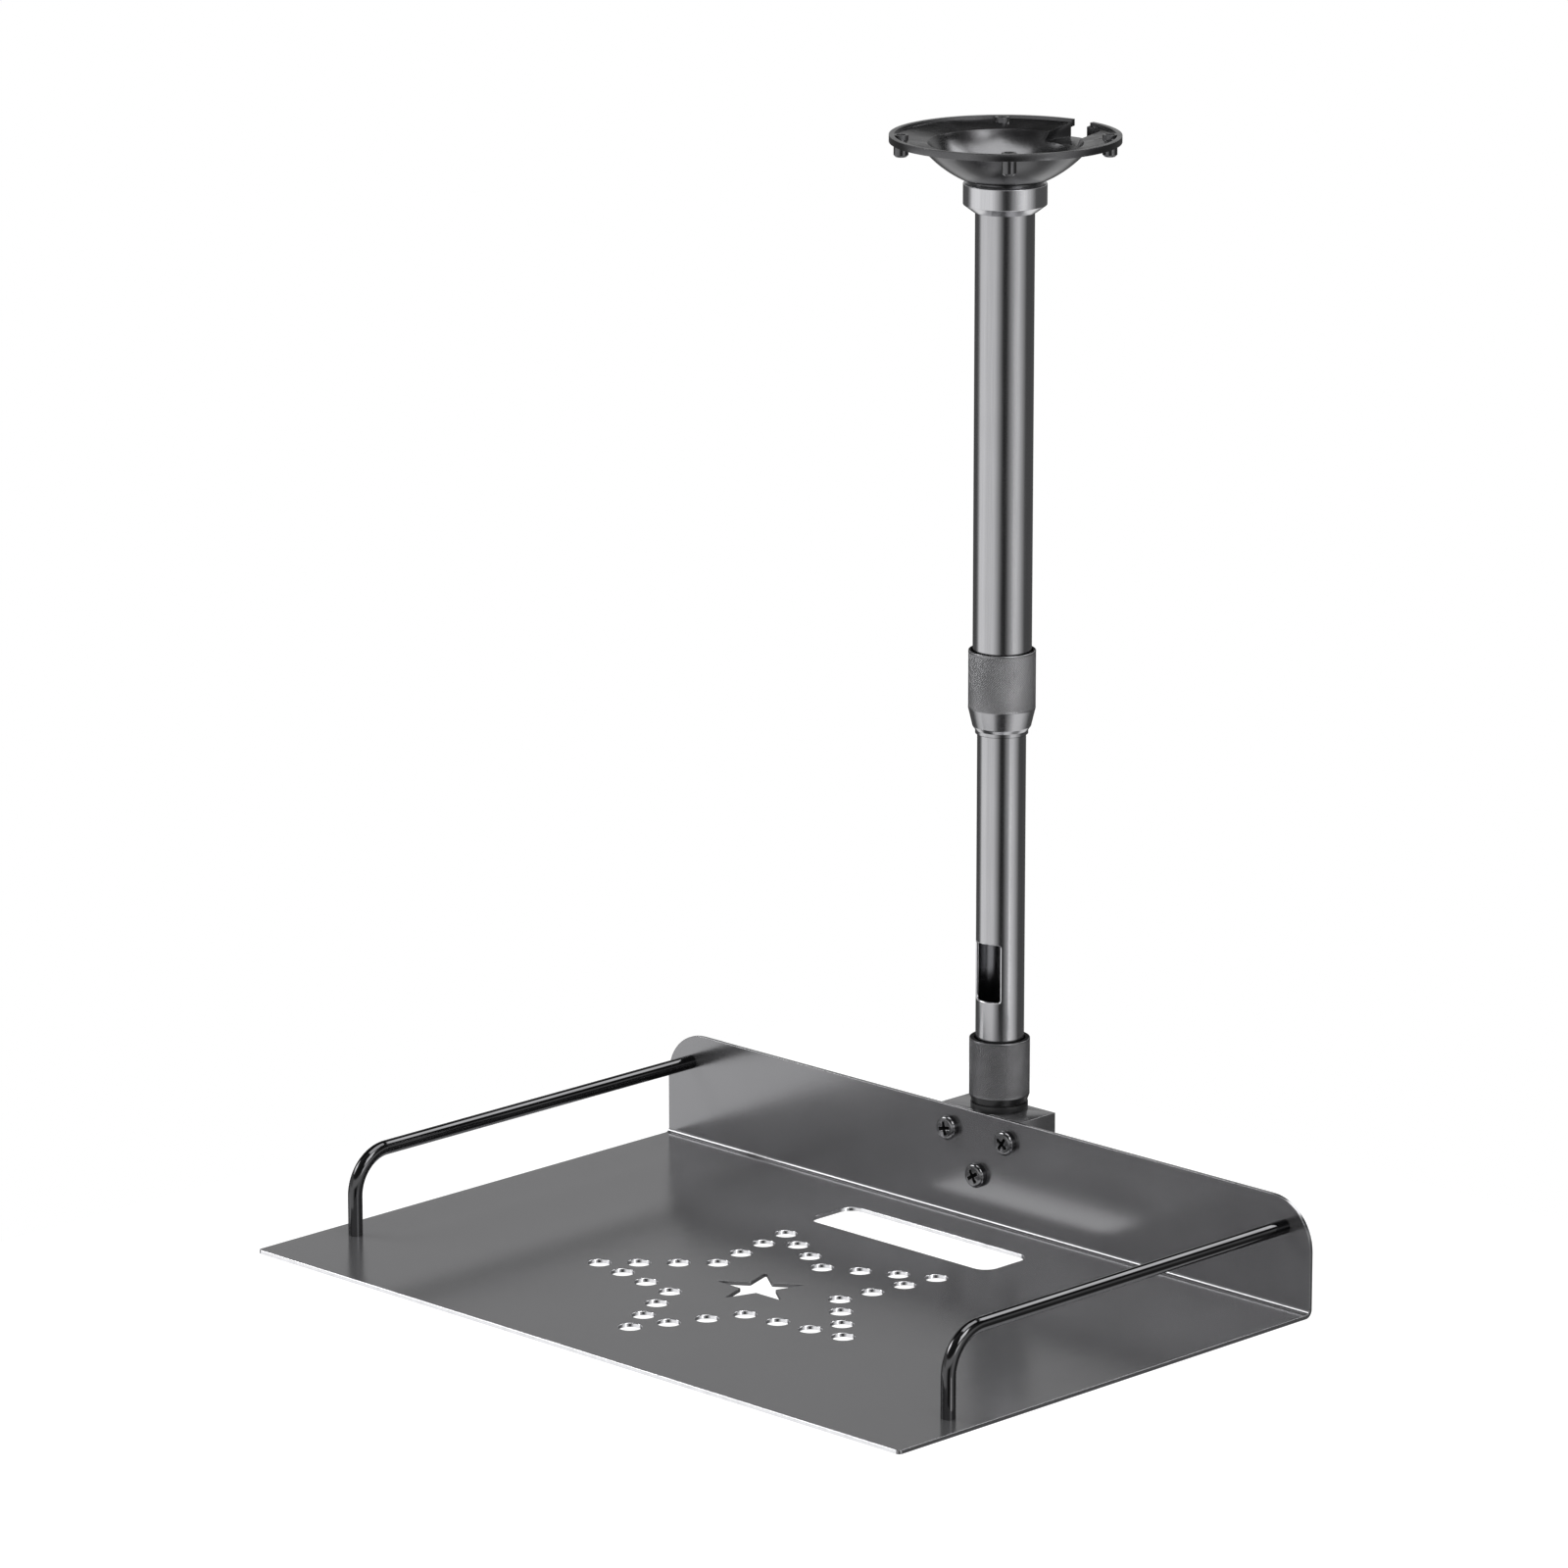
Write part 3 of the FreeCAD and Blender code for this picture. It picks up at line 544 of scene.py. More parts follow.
tray_low, tray_high = box_mm("projector_tray")
SHEET_T = 2.0
BEND_R = 2.0
SHEET_EDGE = 0.3
FRONT_CORNER_R, TOP_CORNER_R = 2.0, 24.0
SLOT_HALF_W, SLOT_DEEP, SLOT_R = 59.0, 31.0, 7.5
SLOT_BACK = 26.0  # from the flange's face to the slot's back edge
STAR_BACK = 148.5  # and to the star's centre
STAR_TIP, STAR_NOTCH, VENT_R = 84.0, 42.0, 5.5
VENTS_PER_EDGE = 3
CUTOUT_TIP, CUTOUT_ROUND = 22.5, (0.45, 0.6)
BEND_STEPS = 10
FRONT_Y = tray_low[1]
FACE_Y = tray_high[1] - SHEET_T
FLOOR_Z = tray_low[2] + SHEET_T
TOP_Z = tray_high[2]
HALF_W = tray_high[0]
BEND_Y = FACE_Y - BEND_R
BEND_Z = FLOOR_Z + BEND_R
FLAT = BEND_Y - FRONT_Y
ROUND = math.pi / 2 * (BEND_R + SHEET_T / 2)
UPRIGHT = TOP_Z - BEND_Z


def tray_place(u, v, w):
    """Bends the flat pattern: floor, quarter bend, back flange."""
    angle = np.clip((v - FLAT) / ROUND, 0, 1) * math.pi / 2
    c, s = np.cos(angle), np.sin(angle)
    floor = np.minimum(v, FLAT)
    rise = np.maximum(v - FLAT - ROUND, 0)
    y = FRONT_Y + floor + (BEND_R + w) * s
    z = BEND_Z - (BEND_R + w) * c + rise
    zero, one = np.zeros_like(u), np.ones_like(u)
    return (np.stack([u, y, z], 1), np.stack([one, zero, zero], 1),
            np.stack([zero, c, s], 1), np.stack([zero, s, -c], 1))


def hole(rows):
    """The same loop as a hole: its normals point into the opening."""
    rows = rows.copy()
    rows[:, 2:4] *= -1
    return rows


def ring_loop(u, v, radius, count=40):
    angles = np.arange(count) * 2 * math.pi / count
    c, s = np.cos(angles), np.sin(angles)
    return np.stack([u + radius * c, v + radius * s, c, s], 1)


def flat_v(y):
    return y - FRONT_Y


def star(tip, notch, centre_v, radius=None):
    """Corners of a star; radius gives the rounding of its tips and notches."""
    corners = []
    for i in range(10):
        angle = math.radians(-90 + i * 36)
        r = notch if i % 2 else tip
        corner = [r * math.cos(angle), centre_v + r * math.sin(angle)]
        corners.append(tuple(corner) if radius is None else (*corner, radius[i % 2]))
    return corners


def tray_mesh():
    length = FLAT + ROUND + UPRIGHT
    bends = [FLAT + ROUND * k / BEND_STEPS for k in range(BEND_STEPS + 1)]
    outer = rounded([(-HALF_W, 0, FRONT_CORNER_R), (HALF_W, 0, FRONT_CORNER_R),
                     (HALF_W, length, TOP_CORNER_R), (-HALF_W, length, TOP_CORNER_R)], 14)
    outer = split_loop(outer, vs=bends)
    back = flat_v(FACE_Y - SLOT_BACK)
    slot = [(x, v, SLOT_R) for x, v in ((-SLOT_HALF_W, back - SLOT_DEEP),
                                        (SLOT_HALF_W, back - SLOT_DEEP),
                                        (SLOT_HALF_W, back), (-SLOT_HALF_W, back))]
    loops = [outer, hole(rounded(slot, 10))]
    centre_v = flat_v(FACE_Y - STAR_BACK)
    corners = star(STAR_TIP, STAR_NOTCH, centre_v)
    for a, b in zip(corners, corners[1:] + corners[:1]):
        for k in range(VENTS_PER_EDGE):
            loops.append(hole(ring_loop(a[0] + (b[0] - a[0]) * k / VENTS_PER_EDGE,
                                        a[1] + (b[1] - a[1]) * k / VENTS_PER_EDGE, VENT_R)))
    notch = CUTOUT_TIP * math.cos(math.radians(72)) / math.cos(math.radians(36))
    loops.append(hole(rounded(star(CUTOUT_TIP, notch, centre_v, CUTOUT_ROUND), 4)))
    lines = [((-HALF_W - 1, v), (HALF_W + 1, v)) for v in bends]
    # The slot and vent walls and the front edge get mark 1, the painted highlight.
    return build_mesh("tray_sheet", *sheet(loops, SHEET_T, SHEET_EDGE, tray_place, lines,
                                           cut=range(1, len(loops) - 1), cut_v=0.0))


# Tubes and turned pieces.

LOWER_R, LOWER_T, LOWER_EDGE = 11.6, 1.5, 0.6
LOWER_SIDES, TURNED_SIDES = 144, 160
WINDOW_UP, WINDOW_HIGH, WINDOW_HALF_W = 48.5, 28.0, 8.0
UPPER_R, UPPER_BORE_R = 14.0, 12.2
COLLAR_R, COLLAR_CHAMFER = 19.7, 3.5

def tube_place(radius):
    """Rolls a flat sheet up about Z, with u = 0 at the front and w inwards."""
    def place(u, v, w):
        angle = u / radius - math.pi / 2
        c, s = np.cos(angle), np.sin(angle)
        r = radius - w
        zero, one = np.zeros_like(u), np.ones_like(u)
        return (np.stack([r * c, r * s, v], 1), np.stack([-s, c, zero], 1),
                np.stack([zero, zero, one], 1), np.stack([-c, -s, zero], 1))
    return place


def lower_tube_mesh():
    low, high = box_mm("lower_tube")
    half = math.pi * LOWER_R
    lines_u = [half * (2 * k / LOWER_SIDES - 1) for k in range(1, LOWER_SIDES)]
    z0, z1 = low[2], high[2]
    bottom = [[u, z0, 0, -1] for u in [-half] + lines_u + [half]]
    top = [[u, z1, 0, 1] for u in [half] + lines_u[::-1] + [-half]]
    outer = np.array(bottom + top, float)
    foot = z0 + WINDOW_UP
    wide = LOWER_R * math.asin(WINDOW_HALF_W / LOWER_R)
    window = rounded([(-wide, foot, 1.0), (wide, foot, 1.0), (wide, foot + WINDOW_HIGH, 1.0),
                      (-wide, foot + WINDOW_HIGH, 1.0)], 6)
    window = hole(split_loop(window, us=lines_u))
    lines = [((u, z0 - 1), (u, z1 + 1)) for u in lines_u]
    # The window's rim gets mark 1, the painted highlight.
    part = sheet([outer, window], LOWER_T, LOWER_EDGE, tube_place(LOWER_R), lines, open_u=half,
                 cut=[1])
    return build_mesh("lower_tube_skin", *part)


def ring_outline(corners, edge=0.2):
    """Rounded outline of (radius, z) corners in either order; a third value is a corner's own
    rounding."""
    rows = [(c[0], c[1], c[2] if len(c) > 2 else edge) for c in corners]
    area = sum(a[0] * b[1] - b[0] * a[1] for a, b in zip(rows, rows[1:] + rows[:1]))
    if area < 0:
        rows = rows[::-1]
    return rounded(rows, 4)


def upper_tube_mesh():
    low, high = box_mm("upper_tube")
    outline = ring_outline([(UPPER_BORE_R, low[2]), (UPPER_R, low[2]), (UPPER_R, high[2]),
                            (UPPER_BORE_R, high[2])], 0.3)
    return build_mesh("upper_tube_skin", *lathe(outline, TURNED_SIDES))


def collar_mesh():
    low, high = box_mm("flange_collar")
    z0, z1 = low[2], high[2]
    outline = ring_outline([(UPPER_R, z0), (UPPER_R + 1.0, z0, 0.3),
                            (COLLAR_R, z0 + COLLAR_CHAMFER, 0.5), (COLLAR_R, z1, 0.5),
                            (UPPER_R, z1)])
    return build_mesh("collar_skin", *lathe(outline, TURNED_SIDES))


KNURL_PITCH = 1.2
KNURL_DEPTH = 0.32
KNURL_TOPS = 1.35  # more than 1 leaves flat tops
KNURL_FADE = 0.6
KNURL_END = 0.7  # plain rim above a knurl
KNURL_CLEAR = 0.35  # deeper than any groove
LONG_WALL = 5.0  # only a wall longer than this is knurled
UPPER_NUT_R, LOWER_NUT_R = 16.0, 14.5
UPPER_KNURL = 27.6  # from the nut's top to the knurl's foot


def knurl_cut(radius, low, high):
    """Crossed grooves between two heights, which fade at both ends, and how many segments they
    need."""
    count = round(2 * math.pi * radius / KNURL_PITCH)

    def tri(x):
        return 2 * np.abs(x - np.floor(x + 0.5))

    def depth(angle, z):
        a = angle / (2 * math.pi) * count
        b = z / KNURL_PITCH
        h = np.minimum(1.0, KNURL_TOPS * np.minimum(tri(a + b), tri(a - b)))
        fade = np.clip(np.minimum(z - low, high - z) / KNURL_FADE, 0, 1)
        return KNURL_DEPTH * (1 - h) * fade

    def cut(r, angle, z):
        on = (r > radius - 0.01) & (z > low - 0.01) & (z < high + 0.01)
        angle = np.broadcast_to(angle, z.shape)
        step = 0.05
        here = np.where(on, depth(angle, z), 0)
        slope_u = (depth(angle + step / radius, z) - depth(angle - step / radius, z)) / (2 * step)
        slope_v = (depth(angle, z + step) - depth(angle, z - step)) / (2 * step)
        return here, np.where(on, slope_u, 0), np.where(on, slope_v, 0)
    return cut, count * 4


def knurl_rows(radius, low, high):
    steps = round((high - low) / (KNURL_PITCH / 4))
    return [[radius, low + (high - low) * k / steps, 1, 0] for k in range(steps + 1)]


def nut_mesh(name, outline, radius, low, high, smooth_from):
    """A turned nut whose outer wall between two heights carries the knurl. Marks: 1 below the
    knurl, down to smooth_from, and 2 in the mouth and bore, for the painted shade."""
    rows = []
    n = len(outline)
    for i in range(n):
        a, b = outline[i], outline[(i + 1) % n]
        rows.append(list(a))
        on_wall = max(abs(a[0] - radius), abs(b[0] - radius)) < TINY
        if on_wall and b[1] - a[1] > LONG_WALL:
            rows += knurl_rows(radius, low, high)
    cut, segments = knurl_cut(radius, low, high)
    points, normals, faces = lathe(rows, segments, cut)
    corners = [points[list(face)] for face in faces]
    marks = [1 if smooth_from < p[:, 2].max() < low - 0.1
             else 2 if np.hypot(p[:, 0], p[:, 1]).max() < radius - KNURL_CLEAR else 0
             for p in corners]
    return build_mesh(name, points, normals, faces, marks)


def upper_nut_mesh():
    low, high = box_mm("upper_clamp_nut")
    z0, z1 = low[2], high[2]
    end = z1 - 20.6
    outline = ring_outline([
        (11.9, z0, 0.15), (12.6, z0, 0.2), (12.6, z0 + 1.8, 0.3), (13.9, z0 + 3.6, 1.2),
        (UPPER_NUT_R, z1 - 28.0, 0.5), (UPPER_NUT_R, z1, 0.4), (14.7, z1, 0.15),
        (14.7, z1 - 2.5, 0), (14.08, z1 - 2.5, 0), (14.08, end, 0), (12.6, end - 14.0, 0),
        (11.9, end - 14.0, 0)])
    return nut_mesh("upper_nut_skin", outline, UPPER_NUT_R, z1 - UPPER_KNURL, z1 - KNURL_END,
                    z0 + 0.5)


def lower_nut_mesh():
    low, high = box_mm("lower_clamp_nut")
    z0, z1 = low[2], high[2]
    lip = z1 - 5.6
    outline = ring_outline([
        (12.78, z0, 0.1), (13.2, z0, 0.1), (LOWER_NUT_R, z0 + 3.5, 0.4), (LOWER_NUT_R, z1, 0.4),
        (12.3, z1, 0.15), (12.3, lip, 0), (12.41, lip, 0), (12.78, lip - 6.3, 0)])
    return nut_mesh("lower_nut_skin", outline, LOWER_NUT_R, z0 + 3.9, z1 - KNURL_END, z0 - 1.0)


# Rails and screws.

RAIL_BEND_R, RAIL_BEND_STEPS = 20.0, 28
CAP_STEPS = 4  # on a rod's rounded end
POINT_R = 0.001  # closes a rod's end
THREAD_SHARE = 0.55  # of the pitch, the depth of a thread
RECESS_MOUTH = 1.15  # the cross at the top of its recess, as a share of its reach
PAN_SIDE, PAN_TOP = 0.5, 0.94  # where a pan head's dome starts and ends, as shares of its height
DOME_IN, DOME_SPAN = 0.66, 0.34  # how far in it ends and how far it bulges, of the radius
HEAD_SHADE_DEG = 24.0
# Head's radius and height, recess's reach, half width and depth.
M6_HEAD = (6.0, 4.0, 3.6, 0.85, 2.4)
M4_HEAD = (4.0, 2.6, 2.1, 0.45, 1.6)
# Bolt: half of the width across flats, head, shank, washer face.
HEX_FLAT_R, HEX_FOOT, HEX_TOP = 5.0, -4.0, -0.35
BOLT_R, BOLT_LENGTH, WASHER_R = 3.0, 21.0, 4.7

def sweep(path, tangents, across, radius, count=32, cap=0.4):
    """A round rod along a path in one plane, with rounded ends."""
    path, tangents = np.array(path, float), np.array(tangents, float)
    across = np.array(across, float)
    angles = np.arange(count) * 2 * math.pi / count
    rings, points, normals, faces = [], [], [], []

    def ring(centre, tangent, r, lean):
        side = np.cross(tangent, across)
        radial = np.cos(angles)[:, None] * across + np.sin(angles)[:, None] * side
        points.append(centre + radial * r)
        normals.append(radial * math.cos(lean) + tangent * math.sin(lean))
        rings.append(sum(len(p) for p in points[:-1]))

    n = len(path)
    ring(path[0], tangents[0], POINT_R, -math.pi / 2)
    for k in range(CAP_STEPS, -1, -1):
        phi = k / CAP_STEPS * math.pi / 2
        ring(path[0] + tangents[0] * cap * (1 - math.sin(phi)), tangents[0],
             radius - cap * (1 - math.cos(phi)), -phi)
    for i in range(1, n - 1):
        ring(path[i], tangents[i], radius, 0)
    for k in range(CAP_STEPS + 1):
        phi = k / CAP_STEPS * math.pi / 2
        ring(path[-1] - tangents[-1] * cap * (1 - math.sin(phi)), tangents[-1],
             radius - cap * (1 - math.cos(phi)), phi)
    ring(path[-1], tangents[-1], POINT_R, math.pi / 2)
    for a, b in zip(rings, rings[1:]):
        for i in range(count):
            j = (i + 1) % count
            faces.append((a + i, a + j, b + j, b + i))
    return np.concatenate(points), np.concatenate(normals), faces


def rail_mesh(node):
    low, high = box_mm(node)
    x = (low[0] + high[0]) / 2
    r = (high[0] - low[0]) / 2
    bend = RAIL_BEND_R
    top_z, leg_y = high[2] - r, low[1] + r
    path, tangents = [(x, high[1], top_z)], [(0, -1, 0)]
    for k in range(RAIL_BEND_STEPS + 1):
        angle = k / RAIL_BEND_STEPS * math.pi / 2
        path.append((x, leg_y + bend - bend * math.sin(angle),
                     top_z - bend + bend * math.cos(angle)))
        tangents.append((0, -math.cos(angle), -math.sin(angle)))
    path.append((x, leg_y, low[2]))
    tangents.append((0, 0, -1))
    return build_mesh(node + "_rod", *sweep(path, tangents, (1, 0, 0), r))


def threaded(radius, pitch, top, length, segments=48):
    """A threaded shank that hangs from height top, with a chamfered tip."""
    depth = THREAD_SHARE * pitch
    rows = [[0, top, 0, 1], [radius, top, 0, 1], [radius, top, 1, 0]]
    steps = round(length / (pitch / 8))
    for k in range(steps + 1):
        rows.append([radius, top - length * k / steps * (1 - 0.6 / length), 1, 0])
    rows += [[radius - 0.9, top - length, 0, -1], [0, top - length, 0, -1]]

    def cut(r, angle, z):
        on = (r > radius - 0.01) & (z < top - 0.3)
        turn = z / pitch - np.broadcast_to(angle, z.shape) / (2 * math.pi)
        wave = 2 * np.abs(turn - np.floor(turn + 0.5))
        end = np.clip((z - (top - length)) / 1.2, 0, 1)
        here = np.where(on, depth * wave + (1 - end) * 0.5, 0)
        slope = np.where(np.mod(turn, 1) < 0.5, 1, -1) * depth * 2 / pitch
        return here, np.zeros_like(z), np.where(on, slope, 0)
    return lathe(rows, segments, cut)


def cross_cutter(reach, wide, depth, top):
    """A tapered cross for the recess in a screw's head."""
    def outline(l, w, z):
        return [(l, -w, z), (l, w, z), (w, w, z), (w, l, z), (-w, l, z), (-w, w, z),
                (-l, w, z), (-l, -w, z), (-w, -w, z), (-w, -l, z), (w, -l, z), (w, -w, z)]
    points = (outline(reach * RECESS_MOUTH, wide * 1.08, top + 0.5)
              + outline(reach * 0.42, wide * 0.7, top - depth))
    faces = [tuple(range(12))[::-1], tuple(range(12, 24))]
    for i in range(12):
        j = (i + 1) % 12
        faces.append((i, j, 12 + j, 12 + i))
    mesh = bpy.data.meshes.new("cutter")
    mesh.from_pydata([tuple(c * MM for c in p) for p in points], [], faces)
    bm = bmesh.new()
    bm.from_mesh(mesh)
    bmesh.ops.recalc_face_normals(bm, faces=bm.faces)
    bm.to_mesh(mesh)
    bm.free()
    return mesh


def screw_head(radius, height, reach, wide, depth):
    """A pan head with a cross recess, its seat at z = 0."""
    rows = [(0.0, 0.0, 0), (radius, 0.0, 0.15)]
    for k in range(9):
        a = k / 8 * math.pi / 2
        rows.append((radius * (DOME_IN + DOME_SPAN * math.cos(a)),
                     height * (PAN_SIDE + (PAN_TOP - PAN_SIDE) * math.sin(a)), 0.25))
    rows += [(radius * 0.35, height * 0.985, 0.8), (0.0, height, 0)]
    outline = rounded(rows, 3)
    points, normals, faces = lathe(outline, 72)
    body = build_mesh("head", points, normals, faces)
    bm = bmesh.new()
    bm.from_mesh(body)
    bmesh.ops.remove_doubles(bm, verts=bm.verts, dist=WELD)
    bmesh.ops.dissolve_degenerate(bm, edges=bm.edges, dist=WELD)
    bmesh.ops.recalc_face_normals(bm, faces=bm.faces)
    clean = bpy.data.meshes.new("head_clean")
    bm.to_mesh(clean)
    bm.free()
    holder = temp_object(clean)
    cutter = temp_object(cross_cutter(reach, wide, depth, height))
    cut = holder.modifiers.new("recess", "BOOLEAN")
    cut.operation = "DIFFERENCE"
    cut.solver = "EXACT"
    cut.object = cutter
    mesh = evaluated(holder)
    drop(holder)
    drop(cutter)
    # Faces in the recess get material 1, the painted shade.
    for face in mesh.polygons:
        x, y, z = face.center / MM
        in_recess = math.hypot(x, y) < reach * RECESS_MOUTH and 0.2 < z < height * 0.9
        face.material_index = int(in_recess)
    return mesh


def with_shank(head, shank, place, tip, spin=0.0):
    """Joins a head mesh and a shank part, then tips and moves them."""
    bm = bmesh.new()
    bm.from_mesh(head)
    extra = build_mesh("shank", *shank)
    bm.from_mesh(extra)
    bmesh.ops.rotate(bm, verts=bm.verts, cent=(0, 0, 0),
                     matrix=Matrix.Rotation(math.radians(spin), 3, "Z"))
    bmesh.ops.rotate(bm, verts=bm.verts, cent=(0, 0, 0),
                     matrix=Matrix.Rotation(math.radians(tip), 3, "X"))
    bmesh.ops.translate(bm, verts=bm.verts, vec=Vector(place) * MM)
    mesh = bpy.data.meshes.new("screw")
    bm.to_mesh(mesh)
    bm.free()
    mesh.shade_smooth()
    mesh.set_sharp_from_angle(angle=math.radians(HEAD_SHADE_DEG))
    return mesh


def hex_bolt_mesh():
    """A hexagon head with its corners cut by a cone, a washer face and a plain shank."""
    low, high = box_mm("neck_bolt")
    z_seat = high[2] - BOLT_LENGTH
    corner = HEX_FLAT_R / math.cos(math.pi / 6)
    angles = [i * math.pi / 3 for i in range(6)]
    head = bpy.data.meshes.new("hex")
    points = [(corner * math.cos(a) * MM, corner * math.sin(a) * MM, z * MM)
              for z in (HEX_TOP, HEX_FOOT) for a in angles]
    faces = [tuple(range(6))[::-1], tuple(range(6, 12))]
    faces += [(i, (i + 1) % 6, 6 + (i + 1) % 6, 6 + i) for i in range(6)]
    head.from_pydata(points, [], faces)
    bm = bmesh.new()
    bm.from_mesh(head)
    bmesh.ops.recalc_face_normals(bm, faces=bm.faces)
    bm.to_mesh(head)
    bm.free()
    shape = build_mesh("cone", *lathe(rounded([
        (0, HEX_FOOT, 0), (4.6, HEX_FOOT, 0.2), (corner + 0.4, HEX_FOOT + 1.1, 0),
        (corner + 0.4, HEX_TOP + 0.2, 0), (0, HEX_TOP + 0.2, 0)], 3), 72))
    bm = bmesh.new()
    bm.from_mesh(shape)
    bmesh.ops.remove_doubles(bm, verts=bm.verts, dist=WELD)
    bmesh.ops.recalc_face_normals(bm, faces=bm.faces)
    bm.to_mesh(shape)
    bm.free()
    holder, other = temp_object(head), temp_object(shape)
    cut = holder.modifiers.new("chamfer", "BOOLEAN")
    cut.operation = "INTERSECT"
    cut.solver = "EXACT"
    cut.object = other
    mesh = evaluated(holder)
    drop(holder)
    drop(other)
    washer = lathe(rounded([(0, HEX_TOP - 0.05, 0), (WASHER_R, HEX_TOP - 0.05, 0),
                            (WASHER_R, 0, 0.1), (0, 0, 0)], 3), 72)
    shank = lathe(rounded([(0, -0.1, 0), (BOLT_R, -0.1, 0), (BOLT_R, BOLT_LENGTH, 0.4),
                           (0, BOLT_LENGTH, 0)], 3), 48)
    return with_shank(mesh, joined(washer, shank), (0, 0, z_seat), 0.0)


# Pieces.

add_object("tray_sheet", tray_mesh(), "tray", "powder_coat", "projector_tray", extra=["painted_highlight_edge"])
add_object("lower_tube_skin", lower_tube_mesh(), "lower_tube", "satin_tube", "lower_tube",
           extra=["painted_highlight_edge"])
add_object("upper_tube_skin", upper_tube_mesh(), "hanger", "satin_tube", "upper_tube")
add_object("collar_skin", collar_mesh(), "hanger", "satin_tube", "flange_collar",
           finish="satin_collar")
# The upper nut gets the lighter copy of the knurled steel, painted light.
add_object("upper_nut_skin", upper_nut_mesh(), "upper_nut", "knurled_nut", "upper_clamp_nut",
           finish="knurled_painted_light", extra=["satin_tube", "painted_gap_shade"])
# The lower nut gets the darker copy, painted shade from the tray.
add_object("lower_nut_skin", lower_nut_mesh(), "lower_nut", "knurled_nut", "lower_clamp_nut",
           extra=["dark_metal", "painted_gap_shade"])
for node in ("rail_left", "rail_right"):
    add_object(node + "_rod", rail_mesh(node), "tray", "rail_finish", node)


def add_screw(node, head, shank, place, tip, spin):
    mesh = with_shank(head, shank, place, tip, spin)
    add_object(node + "_pan", mesh, "tray", "screw_steel", node, extra=["painted_gap_shade"])


SCREW_SPINS = {"tray_screw_left": 12.0, "tray_screw_right": 55.0, "tray_screw_lower": 31.0}
FLOOR_SPIN, FLANGE_SPIN = 20.0, 40.0
M6_HIGH, M4_HIGH = M6_HEAD[1], M4_HEAD[1]
head = screw_head(*M6_HEAD)
shank = threaded(radius=2.95, pitch=1.0, top=0.1, length=10.1)
for node, spin in SCREW_SPINS.items():
    low, high = box_mm(node)
    place = ((low[0] + high[0]) / 2, low[1] + M6_HIGH, (low[2] + high[2]) / 2)
    add_screw(node, head, shank, place, 90.0, spin)
head = screw_head(*M4_HEAD)
shank = threaded(radius=1.95, pitch=0.7, top=0.1, length=12.1, segments=32)
for side in ("left", "right"):
    node = "rail_" + side + "_floor_screw"
    low, high = box_mm(node)
    place = ((low[0] + high[0]) / 2, (low[1] + high[1]) / 2, low[2] + M4_HIGH)
    add_screw(node, head, shank, place, 180.0, FLOOR_SPIN)
    node = "rail_" + side + "_flange_screw"
    low, high = box_mm(node)
    place = ((low[0] + high[0]) / 2, high[1] - M4_HIGH, (low[2] + high[2]) / 2)
    add_screw(node, head, shank, place, -90.0, FLANGE_SPIN)
add_object("neck_bolt_hex", hex_bolt_mesh(), "tray", "screw_steel", "neck_bolt")
add_object("flange_cast", refined("ceiling_flange", 0.5, 3), "hanger", "flange_casting",
           "ceiling_flange")
add_object("bracket_cast", refined("bracket_block", 0.8, 3), "tray", "powder_coat", "bracket_block")
add_object("neck_turned", refined("swivel_neck", 0.35, 2), "tray", "dark_metal", "swivel_neck")
add_object("collet_ring", refined("upper_collet", 0.2, 2), "hanger", "nylon", "upper_collet")
add_object("bush_ring", refined("tube_guide_bush", 0.2, 2), "lower_tube", "nylon",
           "tube_guide_bush")

# Camera, light and floor.

AZIMUTH = math.radians(44.568)
ELEVATION = math.radians(14.297)
CAMERA_PLACE = (2.6336, -2.8201, 0.6720)
LENS, SENSOR = 193.2, 36.0
CLIP_END = 50.0
back = Vector((math.sin(AZIMUTH) * math.cos(ELEVATION), -math.cos(AZIMUTH) * math.cos(ELEVATION),
               math.sin(ELEVATION)))
camera = bpy.data.objects.new("camera", bpy.data.cameras.new("camera"))
bpy.context.scene.collection.objects.link(camera)
camera.location = CAMERA_PLACE
camera.rotation_mode = "QUATERNION"
camera.rotation_quaternion = (-back).to_track_quat("-Z", "Y")
camera.data.lens = LENS
camera.data.sensor_width = SENSOR
camera.data.clip_end = CLIP_END
bpy.context.scene.camera = camera
bpy.context.scene.view_settings.view_transform = "Standard"


# Panels of the room that mirrors see. Each has where it starts, is full, is full until and ends,
# first in degrees around the part from the camera, positive to the image's right, and then in the
# sine of the height. The last number is its light.
SOFTBOX = ((22.0, 42.0, 56.0, 74.0), (0.74, 0.80, 0.86, 0.91), 3.0)
STRIP = ((108.0, 116.0, 148.0, 158.0), (0.55, 0.61, 0.77, 0.80), 4.4)  # behind, high
POST = ((35.0, 39.0, 45.0, 49.0), (-0.40, -0.36, -0.30, -0.28), 3.6)  # right, low
LOW_LEFT = ((-118.0, -104.0, -76.0, -62.0), (-0.42, -0.34, -0.18, -0.10), 1.18)
WINDOW = ((-120.0, -114.0, -92.0, -86.0), (0.38, 0.42, 0.62, 0.66), 8.0)  # left
PANEL = ((24.0, 32.0, 48.0, 56.0), (0.16, 0.22, 0.40, 0.46), 3.0)
# Dark flags and dim walls: how much of the light they take.
FRONT_TAKES, BEHIND_TAKES, FOOT_TAKES = 0.97, 0.89, 0.65
WALL_TAKES, SIDE_TAKES = 0.51, 0.50
CEILING_TAKES, CEILING_BEHIND_TAKES, CEILING_FRONT_TAKES = 0.80, 0.8, 0.6
SOFT_LIGHT = 0.45  # of the white room on matt surfaces
SEEN_LIGHT = 1.0  # and straight into the camera


